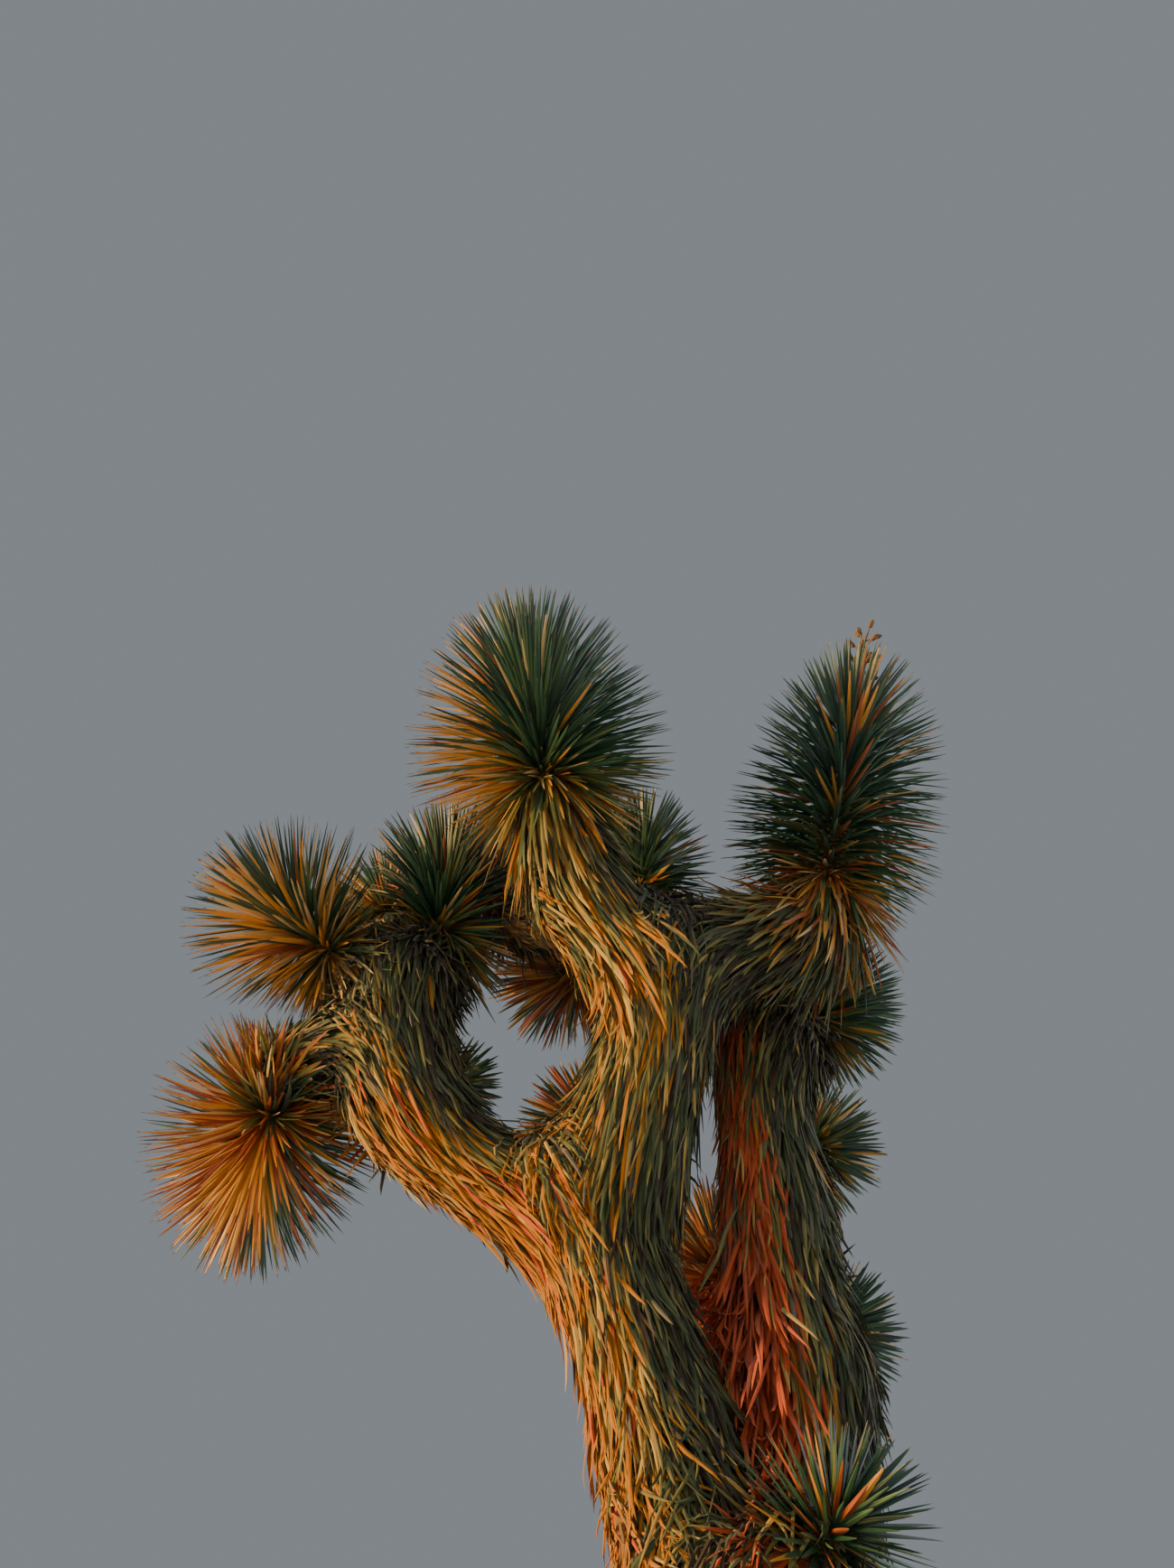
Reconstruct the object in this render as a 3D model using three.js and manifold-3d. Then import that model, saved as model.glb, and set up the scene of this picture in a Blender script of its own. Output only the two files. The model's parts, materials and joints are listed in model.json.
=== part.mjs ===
// A joshua tree: one leaning trunk shaggy with dead leaves, thick forking boughs,
// and a head of stiff dagger leaves at the end of every bough.
// Millimetres, +Z up. The origin is the middle of the flat cut under the trunk.
import * as THREE from "three";
import { mergeVertices } from "three/addons/utils/BufferGeometryUtils.js";
import Module from "manifold-3d";

const wasm = await Module();
wasm.setup();

// Sizes that every limb shares.
const CLEARANCE = 0.3; // gap left between two pieces that meet
const PATH_STEPS = 24; // straight steps that a limb's centre line is walked in
const TRUNK_LATE = 3; // the trunk keeps its foot's direction and turns near its tip
const FLARE_WIDTH = 85; // how far the root flare stands out at the ground
const FLARE_HEIGHT = 130; // height in which the flare fades to about a third
const LOBES = 5; // swellings round the foot, one over each main root
const LOBE_DEPTH = 0.13;
const RIDGE_DEPTH = 9; // how far the ridges of the bare bark stand out, in line with the lobes below
const RIDGE_TWIST = 420; // height in which they wind by one radian
const THATCH_START = 550; // height at which the dead leaves begin
const THATCH_WHOLE = 1350; // height from which they cover the trunk
const TIER = 136; // the trunk's dead leaves hang in uneven tiers about this far apart
const TIER_DEPTH = 12; // how far the lower edge of a tier stands out
const TIER_BACK = 0.87; // share of a tier at which it has come back to the plain trunk
const TUFTS = 5; // tufts round each tier, set between those of the next
const FOOT_WIDTH = 0.74; // a bough starts this much slimmer, hidden inside its parent
const FOOT_SHARE = 0.22; // and has its full width at this share of its length

// Sizes that every head shares.
const GOLDEN_TURN = THREE.MathUtils.degToRad(137.508);
const CORE_SHARE = 0.37; // packed leaf bases inside a head, as a share of its reach
const CORE_SIDES = 9;
const ROOT_OFFSET = 26; // leaves are rooted on a stem of about this radius
const GREEN_LEAVES = 31;
const SKIRT_LEAVES = 7; // dead leaves folded back under a head
const WIDEST_ANGLE = 108; // degrees from the stem of the lowest green leaves
const TIP_ANGLE = 9;
const LONG_STEM = 0.8; // how strongly a long stem holds its leaves wide
const SKIRT_ANGLES = [122, 143];
const SKIRT_LENGTH = 0.68; // share of the head's reach
const YOUNG_LENGTH = 0.84; // the youngest leaves reach this share of the head's reach
const LEAF_HALF_WIDTH = 15;
const LEAF_HALF_THICKNESS = 6;
const LEAF_SHOULDER = 0.38; // where along its length a leaf is widest
const SHORTEST_LEAF = 0.55; // a leaf cut shorter than this by its neighbours is left out
const LIMB_ROOM = 3; // room between a leaf's edge and a limb's surface
const HEAD_ROOM = 0.1; // share of the reach that is left free between two heads

// Each limb leaves its parent's centre line at the share "at" of the way along, in the direction
// "foot", and has turned to the direction "tip" at its end; "bends" are directions in between, evenly
// spread. A direction is a compass angle from +X towards +Y and a rise above the horizon, in
// degrees. Radius is at the foot and at the tip, with the thatch of dead leaves. A limb that others
// grow from ends in a rounded knuckle.
const LIMBS = [
  { name: "trunk", foot: [11, 87.8], tip: [218, 64], length: 3145, radius: [152, 114], sides: 15, knuckle: true },
  { name: "right_stem", parent: "trunk", at: 0.66, foot: [7, 54], bends: [[-113, 81]], tip: [-72, 71], length: 1605,
    radius: [114, 108], sides: 12, steps: 11, knuckle: true },
  { name: "left_bough", parent: "trunk", at: 0.97, foot: [-168, 14], bends: [[-163, 30]], tip: [-146, 56], length: 565,
    radius: [104, 98], sides: 11, steps: 6, knuckle: true },
  { name: "left_bough_upper", parent: "left_bough", at: 0.97, foot: [-113, 64], tip: [-90, 72], length: 290,
    radius: [98, 90], sides: 11, steps: 5, knuckle: true },
  { name: "centre_bough", parent: "trunk", at: 0.97, foot: [-61, 33], tip: [-74, 69], length: 600,
    radius: [138, 122], sides: 12, steps: 6, knuckle: true },
  { name: "bough_top", parent: "centre_bough", at: 0.95, foot: [-151, 22], bends: [[-124, 37]], tip: [-105, 51], length: 570,
    radius: [112, 84], sides: 10, steps: 7 },
  { name: "bough_right", parent: "centre_bough", at: 1, foot: [-3, 27], bends: [[-3, 27], [-3, 27]], tip: [-70, 47],
    length: 515, radius: [125, 98], sides: 10, steps: 8 },
  { name: "bough_leader", parent: "centre_bough", at: 0.98, foot: [113, 55], tip: [-76, 65], length: 505,
    radius: [95, 75], sides: 10, steps: 6 },
  { name: "bough_under_fork", parent: "bough_leader", at: 0.25, foot: [122, 59], tip: [138, 46], length: 390,
    radius: [75, 62], sides: 9, steps: 5 },
  { name: "bough_far_middle", parent: "bough_top", at: 0.45, foot: [128, 33], tip: [180, 78], length: 615,
    radius: [75, 60], sides: 9, steps: 7 },
  { name: "bough_left", parent: "left_bough_upper", at: 0.85, foot: [174, 46], tip: [-152, 25], length: 230,
    radius: [82, 72], sides: 9, steps: 4 },
  { name: "bough_low_left", parent: "left_bough_upper", at: 0.3, foot: [-161, 13], tip: [108, -3], length: 400,
    radius: [75, 65], sides: 9, steps: 6 },
  { name: "bough_inner_left", parent: "left_bough_upper", at: 0.97, foot: [-6, 60], tip: [-75, 72], length: 195,
    radius: [80, 70], sides: 9, steps: 3 },
  { name: "bough_far_left", parent: "left_bough_upper", at: 0.7, foot: [135, 65], tip: [-135, 82], length: 605,
    radius: [60, 55], sides: 9, steps: 6 },
  { name: "bough_elbow", parent: "left_bough", at: 0.8, foot: [145, 55], tip: [49, 56], length: 380,
    radius: [70, 55], sides: 9, steps: 5 },
  { name: "bough_back_middle", parent: "trunk", at: 0.98, foot: [48, 63], tip: [117, 62], length: 660,
    radius: [85, 70], sides: 9, steps: 6 },
  { name: "bough_back_gap", parent: "right_stem", at: 0.45, foot: [102, 56], tip: [96, 63], length: 790,
    radius: [80, 65], sides: 9, steps: 5 },
  { name: "bough_right_stem", parent: "right_stem", at: 0.95, foot: [21, 50], tip: [21, 65], length: 340,
    radius: [90, 70], sides: 9, steps: 5 },
  { name: "bough_back_right", parent: "right_stem", at: 0.66, foot: [72, 63], tip: [41, 62], length: 660,
    radius: [80, 68], sides: 9, steps: 5 },
  { name: "bough_low_right", parent: "right_stem", at: 0.46, foot: [114, 53], tip: [40, 38], length: 505,
    radius: [70, 60], sides: 9, steps: 5 },
  { name: "bough_trunk_shoot", parent: "trunk", at: 0.69, foot: [-29, 57], tip: [-41, 23], length: 260,
    radius: [65, 55], sides: 9, steps: 4 },
];

// Each head stands on the tip of one bough. "green" is the length of stem that carries living
// leaves, "reach" how far their tips stand out from it, and "dry" marks the heads gone golden.
const HEADS = [
  { name: "head_top", limb: "bough_top", green: 320, reach: 345, extra: 8 },
  { name: "head_right", limb: "bough_right", green: 540, reach: 292, extra: 16, flower: true },
  { name: "head_leader", limb: "bough_leader", green: 200, reach: 215 },
  { name: "head_under_fork", limb: "bough_under_fork", green: 180, reach: 240 },
  { name: "head_far_middle", limb: "bough_far_middle", green: 180, reach: 210 },
  { name: "head_left", limb: "bough_left", green: 200, reach: 305, extra: 4, dry: true },
  { name: "head_low_left", limb: "bough_low_left", green: 235, reach: 305, extra: 4, dry: true },
  { name: "head_inner_left", limb: "bough_inner_left", green: 250, reach: 285, extra: 4 },
  { name: "head_far_left", limb: "bough_far_left", green: 140, reach: 190, dry: true },
  { name: "head_elbow", limb: "bough_elbow", green: 110, reach: 165, extra: -6 },
  { name: "head_back_middle", limb: "bough_back_middle", green: 160, reach: 230 },
  { name: "head_back_gap", limb: "bough_back_gap", green: 240, reach: 250 },
  { name: "head_right_stem", limb: "bough_right_stem", green: 280, reach: 245, extra: 5 },
  { name: "head_back_right", limb: "bough_back_right", green: 170, reach: 215 },
  { name: "head_low_right", limb: "bough_low_right", green: 130, reach: 200 },
  { name: "head_trunk_shoot", limb: "bough_trunk_shoot", green: 90, reach: 180, extra: -4 },
];

const COLOURS = { thatch: 0x8c7650, green: 0x55704f, dry: 0xa98d58 };

// A unit vector from a compass angle and a rise in degrees.
function direction([compass, rise]) {
  const a = THREE.MathUtils.degToRad(compass);
  const e = THREE.MathUtils.degToRad(rise);
  return new THREE.Vector3(Math.cos(a) * Math.cos(e), Math.sin(a) * Math.cos(e), Math.sin(e));
}

// The centre line: it starts at the foot and turns steadily from each direction to the next.
function walk(limb, start) {
  const ways = [limb.foot, ...(limb.bends ?? []), limb.tip].map(direction);
  const points = [start.clone()];
  for (let i = 0; i < PATH_STEPS; i += 1) {
    const share = ((i + 0.5) / PATH_STEPS) ** (limb.parent ? 1 : TRUNK_LATE);
    const place = share * (ways.length - 1);
    const k = Math.floor(place);
    const step = ways[k].clone().lerp(ways[k + 1], place - k).normalize();
    points.push(points[i].clone().addScaledVector(step, limb.length / PATH_STEPS));
  }
  return points;
}

// The place on a centre line at a share of the way along it.
function along(points, share) {
  const place = THREE.MathUtils.clamp(share, 0, 1) * (points.length - 1);
  const i = Math.min(Math.floor(place), points.length - 2);
  return points[i].clone().lerp(points[i + 1], place - i);
}

// Radius at a share of the way along, and for the trunk also by height and angle round it.
function radiusAt(limb, share, angle) {
  const plain = THREE.MathUtils.lerp(limb.radius[0], limb.radius[1], share);
  if (limb.parent) {
    const full = THREE.MathUtils.smoothstep(share, 0, FOOT_SHARE);
    return plain * THREE.MathUtils.lerp(FOOT_WIDTH, 1, full);
  }
  const height = share * limb.length;
  const fade = Math.exp(-height / FLARE_HEIGHT);
  const lobe = 1 + LOBE_DEPTH * fade * Math.cos(LOBES * angle);
  return (plain + FLARE_WIDTH * fade) * lobe + relief(height, angle);
}

// The trunk's main relief: ridges of bark low down, and tiers of hanging tufts above.
function relief(height, angle) {
  const cover = THREE.MathUtils.smoothstep(height, THATCH_START, THATCH_WHOLE);
  const ridge = RIDGE_DEPTH * Math.cos(LOBES * angle + height / RIDGE_TWIST) * (1 - cover);
  const row = height / TIER;
  const part = row - Math.floor(row);
  const tier = Math.floor(row) + (part < TIER_BACK ? 0 : 1);
  const out = part < TIER_BACK ? 1 - part / TIER_BACK : (part - TIER_BACK) / (1 - TIER_BACK);
  const tuft = 0.55 + 0.45 * Math.cos(TUFTS * angle + Math.PI * tier);
  return ridge * (1 - Math.exp(-height / FLARE_HEIGHT)) + TIER_DEPTH * out * tuft * cover;
}

// Shares of the way up at which the trunk has rings: close in the flare, then two to every tier.
function trunkRows(limb) {
  const heights = [0, 40, 90, 160, 260, 400, 560, 700];
  for (let tier = 6; (tier + TIER_BACK) * TIER < limb.length; tier += 1) {
    heights.push(tier * TIER, (tier + TIER_BACK) * TIER);
  }
  heights.push(limb.length);
  return heights.map((height) => height / limb.length);
}

// The rings of a limb, each with its place, its heading and its share of the full radius.
function rings(limb, grow) {
  const list = [];
  const even = Array.from({ length: limb.steps + 1 }, (_, i) => i / limb.steps);
  for (const share of limb.parent ? even : trunkRows(limb)) {
    const heading = along(limb.points, share + 0.02).sub(along(limb.points, share - 0.02)).normalize();
    list.push({ place: along(limb.points, share), heading, share, scale: 1 });
  }
  const end = list[list.length - 1];
  if (!limb.parent) {
    list[0].heading.set(0, 0, 1);
  } else if (grow > 0) {
    list[0].place.addScaledVector(list[0].heading, -grow);
  }
  end.heading.copy(direction(limb.tip));
  if (limb.knuckle) {
    for (const [forward, scale] of [[0.5, 0.84], [0.85, 0.45]]) {
      const place = end.place.clone().addScaledVector(end.heading, forward * limb.radius[1] + grow);
      list.push({ place, heading: end.heading.clone(), share: 1, scale });
    }
  } else if (grow > 0) {
    end.place.addScaledVector(end.heading, grow);
  }
  return list;
}

// A closed three.js geometry becomes a solid that can be joined and cut.
function solidOf(geometry) {
  geometry.deleteAttribute("normal");
  geometry.deleteAttribute("uv");
  const merged = mergeVertices(geometry, 1e-4);
  const vertProperties = new Float32Array(merged.attributes.position.array);
  const triVerts = new Uint32Array(merged.index.array);
  return new wasm.Manifold(new wasm.Mesh({ numProp: 3, vertProperties, triVerts }));
}

// A limb is a cylinder whose rings are moved onto the centre line, tapered and turned with it.
function limbSolid(limb, grow = 0) {
  const list = rings(limb, grow);
  const geometry = new THREE.CylinderGeometry(1, 1, 1, limb.sides, list.length - 1);
  const position = geometry.attributes.position;
  const frames = [];
  let across = new THREE.Vector3(1, 0, 0);
  for (const ring of list) {
    across = across.clone().addScaledVector(ring.heading, -across.dot(ring.heading)).normalize();
    frames.push([across, new THREE.Vector3().crossVectors(across, ring.heading)]);
  }
  const widen = grow / Math.cos(Math.PI / limb.sides);
  for (let i = 0; i < position.count; i += 1) {
    const k = Math.round((position.getY(i) + 0.5) * (list.length - 1));
    const rim = Math.hypot(position.getX(i), position.getZ(i));
    const angle = Math.atan2(position.getZ(i), position.getX(i));
    const ring = list[k];
    const radius = rim * (radiusAt(limb, ring.share, angle) * ring.scale + widen);
    const place = ring.place.clone();
    place.addScaledVector(frames[k][0], radius * Math.cos(angle));
    place.addScaledVector(frames[k][1], radius * Math.sin(angle));
    position.setXYZ(i, place.x, place.y, place.z);
  }
  return solidOf(geometry);
}

// The biggest connected body of a solid, so that no scrap of a cut stays behind.
function biggest(solid) {
  const bodies = solid.decompose();
  bodies.sort((a, b) => b.volume() - a.volume());
  return bodies[0];
}

// Distance from a place to a limb's surface, along with how far up the limb the nearest place is.
function distanceToLimb(limb, place) {
  let least = Infinity;
  const nearest = new THREE.Vector3();
  for (let i = 0; i < limb.points.length - 1; i += 1) {
    const line = new THREE.Line3(limb.points[i], limb.points[i + 1]);
    line.closestPointToPoint(place, true, nearest);
    const share = (i + 0.5) / (limb.points.length - 1);
    least = Math.min(least, nearest.distanceTo(place) - radiusAt(limb, share, 0));
  }
  return least;
}

// How deep a place lies in a head's own space: 0 at the stem, 1 at the tips of its leaves.
function depthInHead(head, place) {
  const line = new THREE.Line3(head.base, head.top);
  const nearest = line.closestPointToPoint(place, true, new THREE.Vector3());
  return nearest.distanceTo(place) / head.reach;
}

// Share of a leaf's length that keeps clear of every limb and stays out of the other heads.
function freeShare(head, root, heading, length) {
  for (let share = 0.3; share <= 1.001; share += 0.07) {
    const place = root.clone().addScaledVector(heading, length * share);
    const edge = LEAF_HALF_WIDTH * Math.min(1, (1 - share) / (1 - LEAF_SHOULDER));
    const limbHit = LIMBS.some((limb) => distanceToLimb(limb, place) < LIMB_ROOM + edge);
    const own = depthInHead(head, place);
    const headHit = HEADS.some((other) => other !== head && depthInHead(other, place) < own + HEAD_ROOM);
    if (limbHit || headHit || place.z < 5) {
      return share - 0.07;
    }
  }
  return 1;
}

// One dagger leaf: three-sided, widest low down, ending in a spine, with its keel on the underside.
function daggerSolid(root, heading, keel, length) {
  const profile = [new THREE.Vector2(0, 0), new THREE.Vector2(1, LEAF_SHOULDER), new THREE.Vector2(0, 1)];
  const geometry = new THREE.LatheGeometry(profile, 3);
  const side = new THREE.Vector3().crossVectors(heading, keel).normalize();
  const under = new THREE.Vector3().crossVectors(side, heading).normalize();
  const matrix = new THREE.Matrix4().makeBasis(
    side.multiplyScalar(LEAF_HALF_WIDTH / Math.cos(Math.PI / 6)),
    heading.clone().multiplyScalar(length),
    under.multiplyScalar(LEAF_HALF_THICKNESS),
  );
  matrix.setPosition(root);
  geometry.applyMatrix4(matrix);
  return solidOf(geometry);
}

// The packed stem inside a head, from its flat seat on the bough to its growing tip.
function coreSolid(head) {
  const width = CORE_SHARE * head.reach;
  const height = head.green + 0.2 * head.reach;
  const profile = [[0.9, 0.3], [1, 0.5], [0.8, 0.78], [0.4, 0.95]];
  const points = profile.map(([x, y]) => new THREE.Vector2(x * width, y * height));
  points.unshift(new THREE.Vector2(0, 0), new THREE.Vector2(head.seat, 0));
  points.push(new THREE.Vector2(0, height));
  const geometry = new THREE.LatheGeometry(points, CORE_SIDES);
  const turn = new THREE.Quaternion().setFromUnitVectors(new THREE.Vector3(0, 1, 0), head.axis);
  geometry.applyQuaternion(turn);
  geometry.translate(head.base.x, head.base.y, head.base.z);
  return solidOf(geometry);
}

// The short dried flower stalk with its dead pods that one head still carries.
function flowerSolids(head, across) {
  const parts = [];
  const stalkLength = 150;
  const stalk = new THREE.CylinderGeometry(6, 9, stalkLength, 6);
  stalk.translate(0, head.green + stalkLength / 2 - 30, 0);
  parts.push(stalk);
  for (let i = 0; i < 6; i += 1) {
    const pod = new THREE.OctahedronGeometry(15, 0);
    pod.scale(1, 1.5, 1);
    pod.rotateZ(-0.9);
    pod.translate(12, head.green + 50 + i * 11, 0);
    pod.rotateY(i * 2.4);
    parts.push(pod);
  }
  const turn = new THREE.Quaternion().setFromUnitVectors(new THREE.Vector3(0, 1, 0), head.axis);
  return parts.map((geometry) => {
    geometry.applyQuaternion(turn);
    geometry.translate(head.base.x, head.base.y, head.base.z);
    return solidOf(geometry);
  });
}

// A head: leaves in a steady spiral from the wide low ones to the upright young ones, then a
// skirt of dead leaves folded back over the bough, all grown out of the packed stem. On a long
// stem the leaves stand wide for most of the way and close up only near its top.
function headSolid(head) {
  const across = new THREE.Vector3(0.31, 0.87, -0.38);
  across.addScaledVector(head.axis, -across.dot(head.axis)).normalize();
  const round = new THREE.Vector3().crossVectors(head.axis, across);
  const parts = [coreSolid(head)];
  const grow = (turn, angle, rise, length) => {
    const radial = across.clone().multiplyScalar(Math.cos(turn)).addScaledVector(round, Math.sin(turn));
    const heading = head.axis.clone().multiplyScalar(Math.cos(angle)).addScaledVector(radial, Math.sin(angle));
    const keel = head.axis.clone().multiplyScalar(-Math.sin(angle)).addScaledVector(radial, Math.cos(angle));
    const root = head.base.clone().addScaledVector(head.axis, rise);
    const offset = ROOT_OFFSET * Math.sin(angle);
    root.addScaledVector(radial, offset);
    const free = freeShare(head, root, heading, length - offset);
    if (free >= SHORTEST_LEAF) {
      parts.push(daggerSolid(root, heading, keel, (length - offset) * free));
    }
  };
  const count = GREEN_LEAVES + (head.extra ?? 0);
  const late = 1 + LONG_STEM * Math.max(0, head.green / head.reach - 0.75);
  const low = Math.cos(THREE.MathUtils.degToRad(WIDEST_ANGLE));
  const high = Math.cos(THREE.MathUtils.degToRad(TIP_ANGLE));
  for (let i = 0; i < count; i += 1) {
    const age = (i + 0.5) / count;
    const angle = Math.acos(THREE.MathUtils.lerp(low, high, age ** late));
    const length = head.reach * (1 - (1 - YOUNG_LENGTH) * age * age);
    grow(i * GOLDEN_TURN, angle, head.green * (0.16 + 0.76 * age), length);
  }
  for (let i = 0; i < SKIRT_LEAVES; i += 1) {
    const angle = THREE.MathUtils.degToRad(SKIRT_ANGLES[i % 2]);
    grow(i * GOLDEN_TURN * 1.5 + 0.5, angle, 32, head.reach * SKIRT_LENGTH);
  }
  if (head.flower) {
    parts.push(...flowerSolids(head));
  }
  let solid = wasm.Manifold.union(parts);
  for (const limb of LIMBS) {
    solid = solid.subtract(limb.room);
  }
  return biggest(solid);
}

// Back from a solid to a named three.js mesh.
function meshOf(name, solid, colour) {
  const { vertProperties, triVerts } = solid.getMesh();
  const geometry = new THREE.BufferGeometry();
  geometry.setAttribute("position", new THREE.BufferAttribute(new Float32Array(vertProperties), 3));
  geometry.setIndex(new THREE.BufferAttribute(new Uint32Array(triVerts), 1));
  geometry.computeVertexNormals();
  const material = new THREE.MeshStandardMaterial({ color: colour, roughness: 0.85, metalness: 0 });
  const mesh = new THREE.Mesh(geometry, material);
  mesh.name = name;
  return mesh;
}

// Centre lines first, because every leaf keeps clear of every limb.
const byName = new Map();
for (const limb of LIMBS) {
  const parent = byName.get(limb.parent);
  limb.points = walk(limb, parent ? along(parent.points, limb.at) : new THREE.Vector3());
  byName.set(limb.name, limb);
}
for (const head of HEADS) {
  const limb = byName.get(head.limb);
  head.axis = direction(limb.tip);
  head.seat = limb.radius[1] * 0.9;
  head.base = limb.points[PATH_STEPS].clone().addScaledVector(head.axis, CLEARANCE);
  head.top = head.base.clone().addScaledVector(head.axis, head.green);
}

const tree = new THREE.Group();
LIMBS.forEach((limb, i) => {
  let solid = limbSolid(limb);
  for (const earlier of LIMBS.slice(0, i)) {
    solid = solid.subtract(earlier.room);
  }
  tree.add(meshOf(limb.name, biggest(solid), COLOURS.thatch));
  limb.room = limbSolid(limb, CLEARANCE * 0.9);
});
for (const head of HEADS) {
  tree.add(meshOf(head.name, headSolid(head), head.dry ? COLOURS.dry : COLOURS.green));
}

export default tree;
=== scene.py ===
"""A joshua tree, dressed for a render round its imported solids.

Every limb and every head of leaves is grown again here by the rules that gave the solids their shape, carried
finer: wood with the relief of its bark, a thatch of dead leaves laid along it, and a few hundred stiff leaves
in each head. Metres, +Z up; the origin is the middle of the flat cut under the trunk.
"""

import json
import logging
import math
from dataclasses import dataclass, field
from enum import Enum

import bmesh
import bpy
import numpy as np
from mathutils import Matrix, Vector, noise

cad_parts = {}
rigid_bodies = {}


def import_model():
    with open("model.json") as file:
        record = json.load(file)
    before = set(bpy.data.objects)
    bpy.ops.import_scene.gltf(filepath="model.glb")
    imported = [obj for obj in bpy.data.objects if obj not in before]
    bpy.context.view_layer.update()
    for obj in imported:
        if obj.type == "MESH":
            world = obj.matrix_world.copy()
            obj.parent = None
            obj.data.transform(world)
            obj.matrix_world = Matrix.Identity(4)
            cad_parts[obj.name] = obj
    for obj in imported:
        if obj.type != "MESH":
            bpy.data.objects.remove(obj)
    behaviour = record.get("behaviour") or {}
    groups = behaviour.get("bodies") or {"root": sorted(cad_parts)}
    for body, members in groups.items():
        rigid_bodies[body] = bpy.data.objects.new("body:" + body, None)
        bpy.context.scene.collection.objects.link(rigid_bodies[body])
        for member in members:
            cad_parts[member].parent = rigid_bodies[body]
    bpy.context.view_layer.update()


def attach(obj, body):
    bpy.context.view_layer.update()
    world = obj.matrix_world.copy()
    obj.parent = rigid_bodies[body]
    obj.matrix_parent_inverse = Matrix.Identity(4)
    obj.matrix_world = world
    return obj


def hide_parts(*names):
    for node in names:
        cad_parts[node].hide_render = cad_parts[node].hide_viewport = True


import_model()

Array = np.ndarray
LOG = logging.getLogger("joshua_tree")
SEED = 41

# Limbs, by the same rules as the solids.
PATH_STEPS = 24  # straight stretches of a centre line
TRUNK_LATE = 3  # power that keeps the trunk's bend near its top
FLARE_WIDTH = 0.085
FLARE_HEIGHT = 0.130  # the root flare shrinks to about a third over this height
LOBES = 5  # of the root flare
LOBE_DEPTH = 0.13
RIDGE_DEPTH = 0.009
RIDGE_TWIST = 0.420  # height over which the ridges turn by one radian
TIER = 0.136  # height of a tier of tufts
TIER_DEPTH = 0.012  # how far the tufts of a tier stand out
TIER_BACK = 0.87  # share of a tier over which the tufts fall back
TUFTS = 5  # in a tier
FOOT_WIDTH = 0.74  # a bough's foot, as a share of its width further on
FOOT_SHARE = 0.22  # share of a bough over which its foot widens

# The coat of dead leaves on the limbs.
THATCH_DEPTH = 0.024
THATCH_SHARE = 0.32  # the coat is never deeper than this share of a limb's radius
FILLET = 0.042  # width over which the coats of two limbs run into each other
NEAR = 0.10  # limbs further apart than this don't touch each other's leaves
GROUND_ROOM = 0.003  # no dead leaf hangs lower than this
BARK_TOP = 0.55  # height up to which the trunk shows bare bark
THATCH_WHOLE = 1.35  # height from which the coat covers it fully

# Heads of leaves, by the same rules as the solids.
GOLDEN_TURN = math.radians(137.508)
WIDEST_ANGLE = math.radians(108)
TIP_ANGLE = math.radians(9)
YOUNG_LENGTH = 0.84  # length of the youngest leaves, as a share of the oldest
LONG_STEM = 0.8  # how far a long stem crowds its leaves towards its foot
LIMB_ROOM = 0.003
HEAD_ROOM = 0.1  # how much deeper in its own head than in any other each place of a leaf lies
SHORTEST_LEAF = 0.5  # a leaf cut shorter than this share is left out

WAVE_BAND = 0.314  # width of a band of the wave texture at scale 1
LEAF_MAP = "along_leaf"  # the UV map of every leaf, in metres


def unit(vectors: Array) -> Array:
    """Vectors of length one with the same directions; the last axis holds x, y and z."""
    return vectors / np.maximum(np.linalg.norm(vectors, axis=-1, keepdims=True), 1e-9)


def dot(a: Array, b: Array) -> Array:
    """Dot products along the last axis, which is kept with length one."""
    return np.sum(a * b, axis=-1, keepdims=True)


def lerp(a: Array, b: Array, share: Array) -> Array:
    """The values a share of the way from a to b."""
    return a + (b - a) * share


def smoothstep(x: Array, low: float, high: float) -> Array:
    """0 below low, 1 above high, with a smooth rise between them."""
    t = np.clip((np.asarray(x, float) - low) / (high - low), 0, 1)
    return t * t * (3 - 2 * t)


def direction(compass: float, rise: float) -> Array:
    """Unit vector from a compass angle from +X towards +Y and a rise above the horizon, in degrees."""
    a, e = math.radians(compass), math.radians(rise)
    return np.array([math.cos(a) * math.cos(e), math.sin(a) * math.cos(e), math.sin(e)])


def linear(colour: str) -> tuple[float, float, float, float]:
    """Turns a colour to linear light.

    Args:
        colour: sRGB hex colour such as "#8c7650".

    Returns:
        Its linear red, green and blue, and 1 for opaque.
    """
    parts = [int(colour[i : i + 2], 16) / 255 for i in (1, 3, 5)]
    r, g, b = ((c / 12.92) if c <= 0.04045 else ((c + 0.055) / 1.055) ** 2.4 for c in parts)
    return r, g, b, 1.0


def add_node(
    tree: bpy.types.NodeTree,
    kind: str,
    settings: dict[str | int, object] | None = None,
    links: dict[str | int, bpy.types.NodeSocket] | None = None,
) -> bpy.types.Node:
    """Adds one node.

    Args:
        tree: the node tree that gets it.
        kind: the node's type name, without the beginning that all shader nodes share.
        settings: values by input name or number, or else by the node's own property name.
        links: outputs of earlier nodes, by the input name or number that each goes to.

    Returns:
        The new node.
    """
    node = tree.nodes.new("ShaderNode" + kind)
    for key, value in (settings or {}).items():
        if isinstance(key, int) or key in node.inputs:
            node.inputs[key].default_value = value
        else:
            setattr(node, key, value)
    for key, output in (links or {}).items():
        tree.links.new(output, node.inputs[key])
    return node


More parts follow.
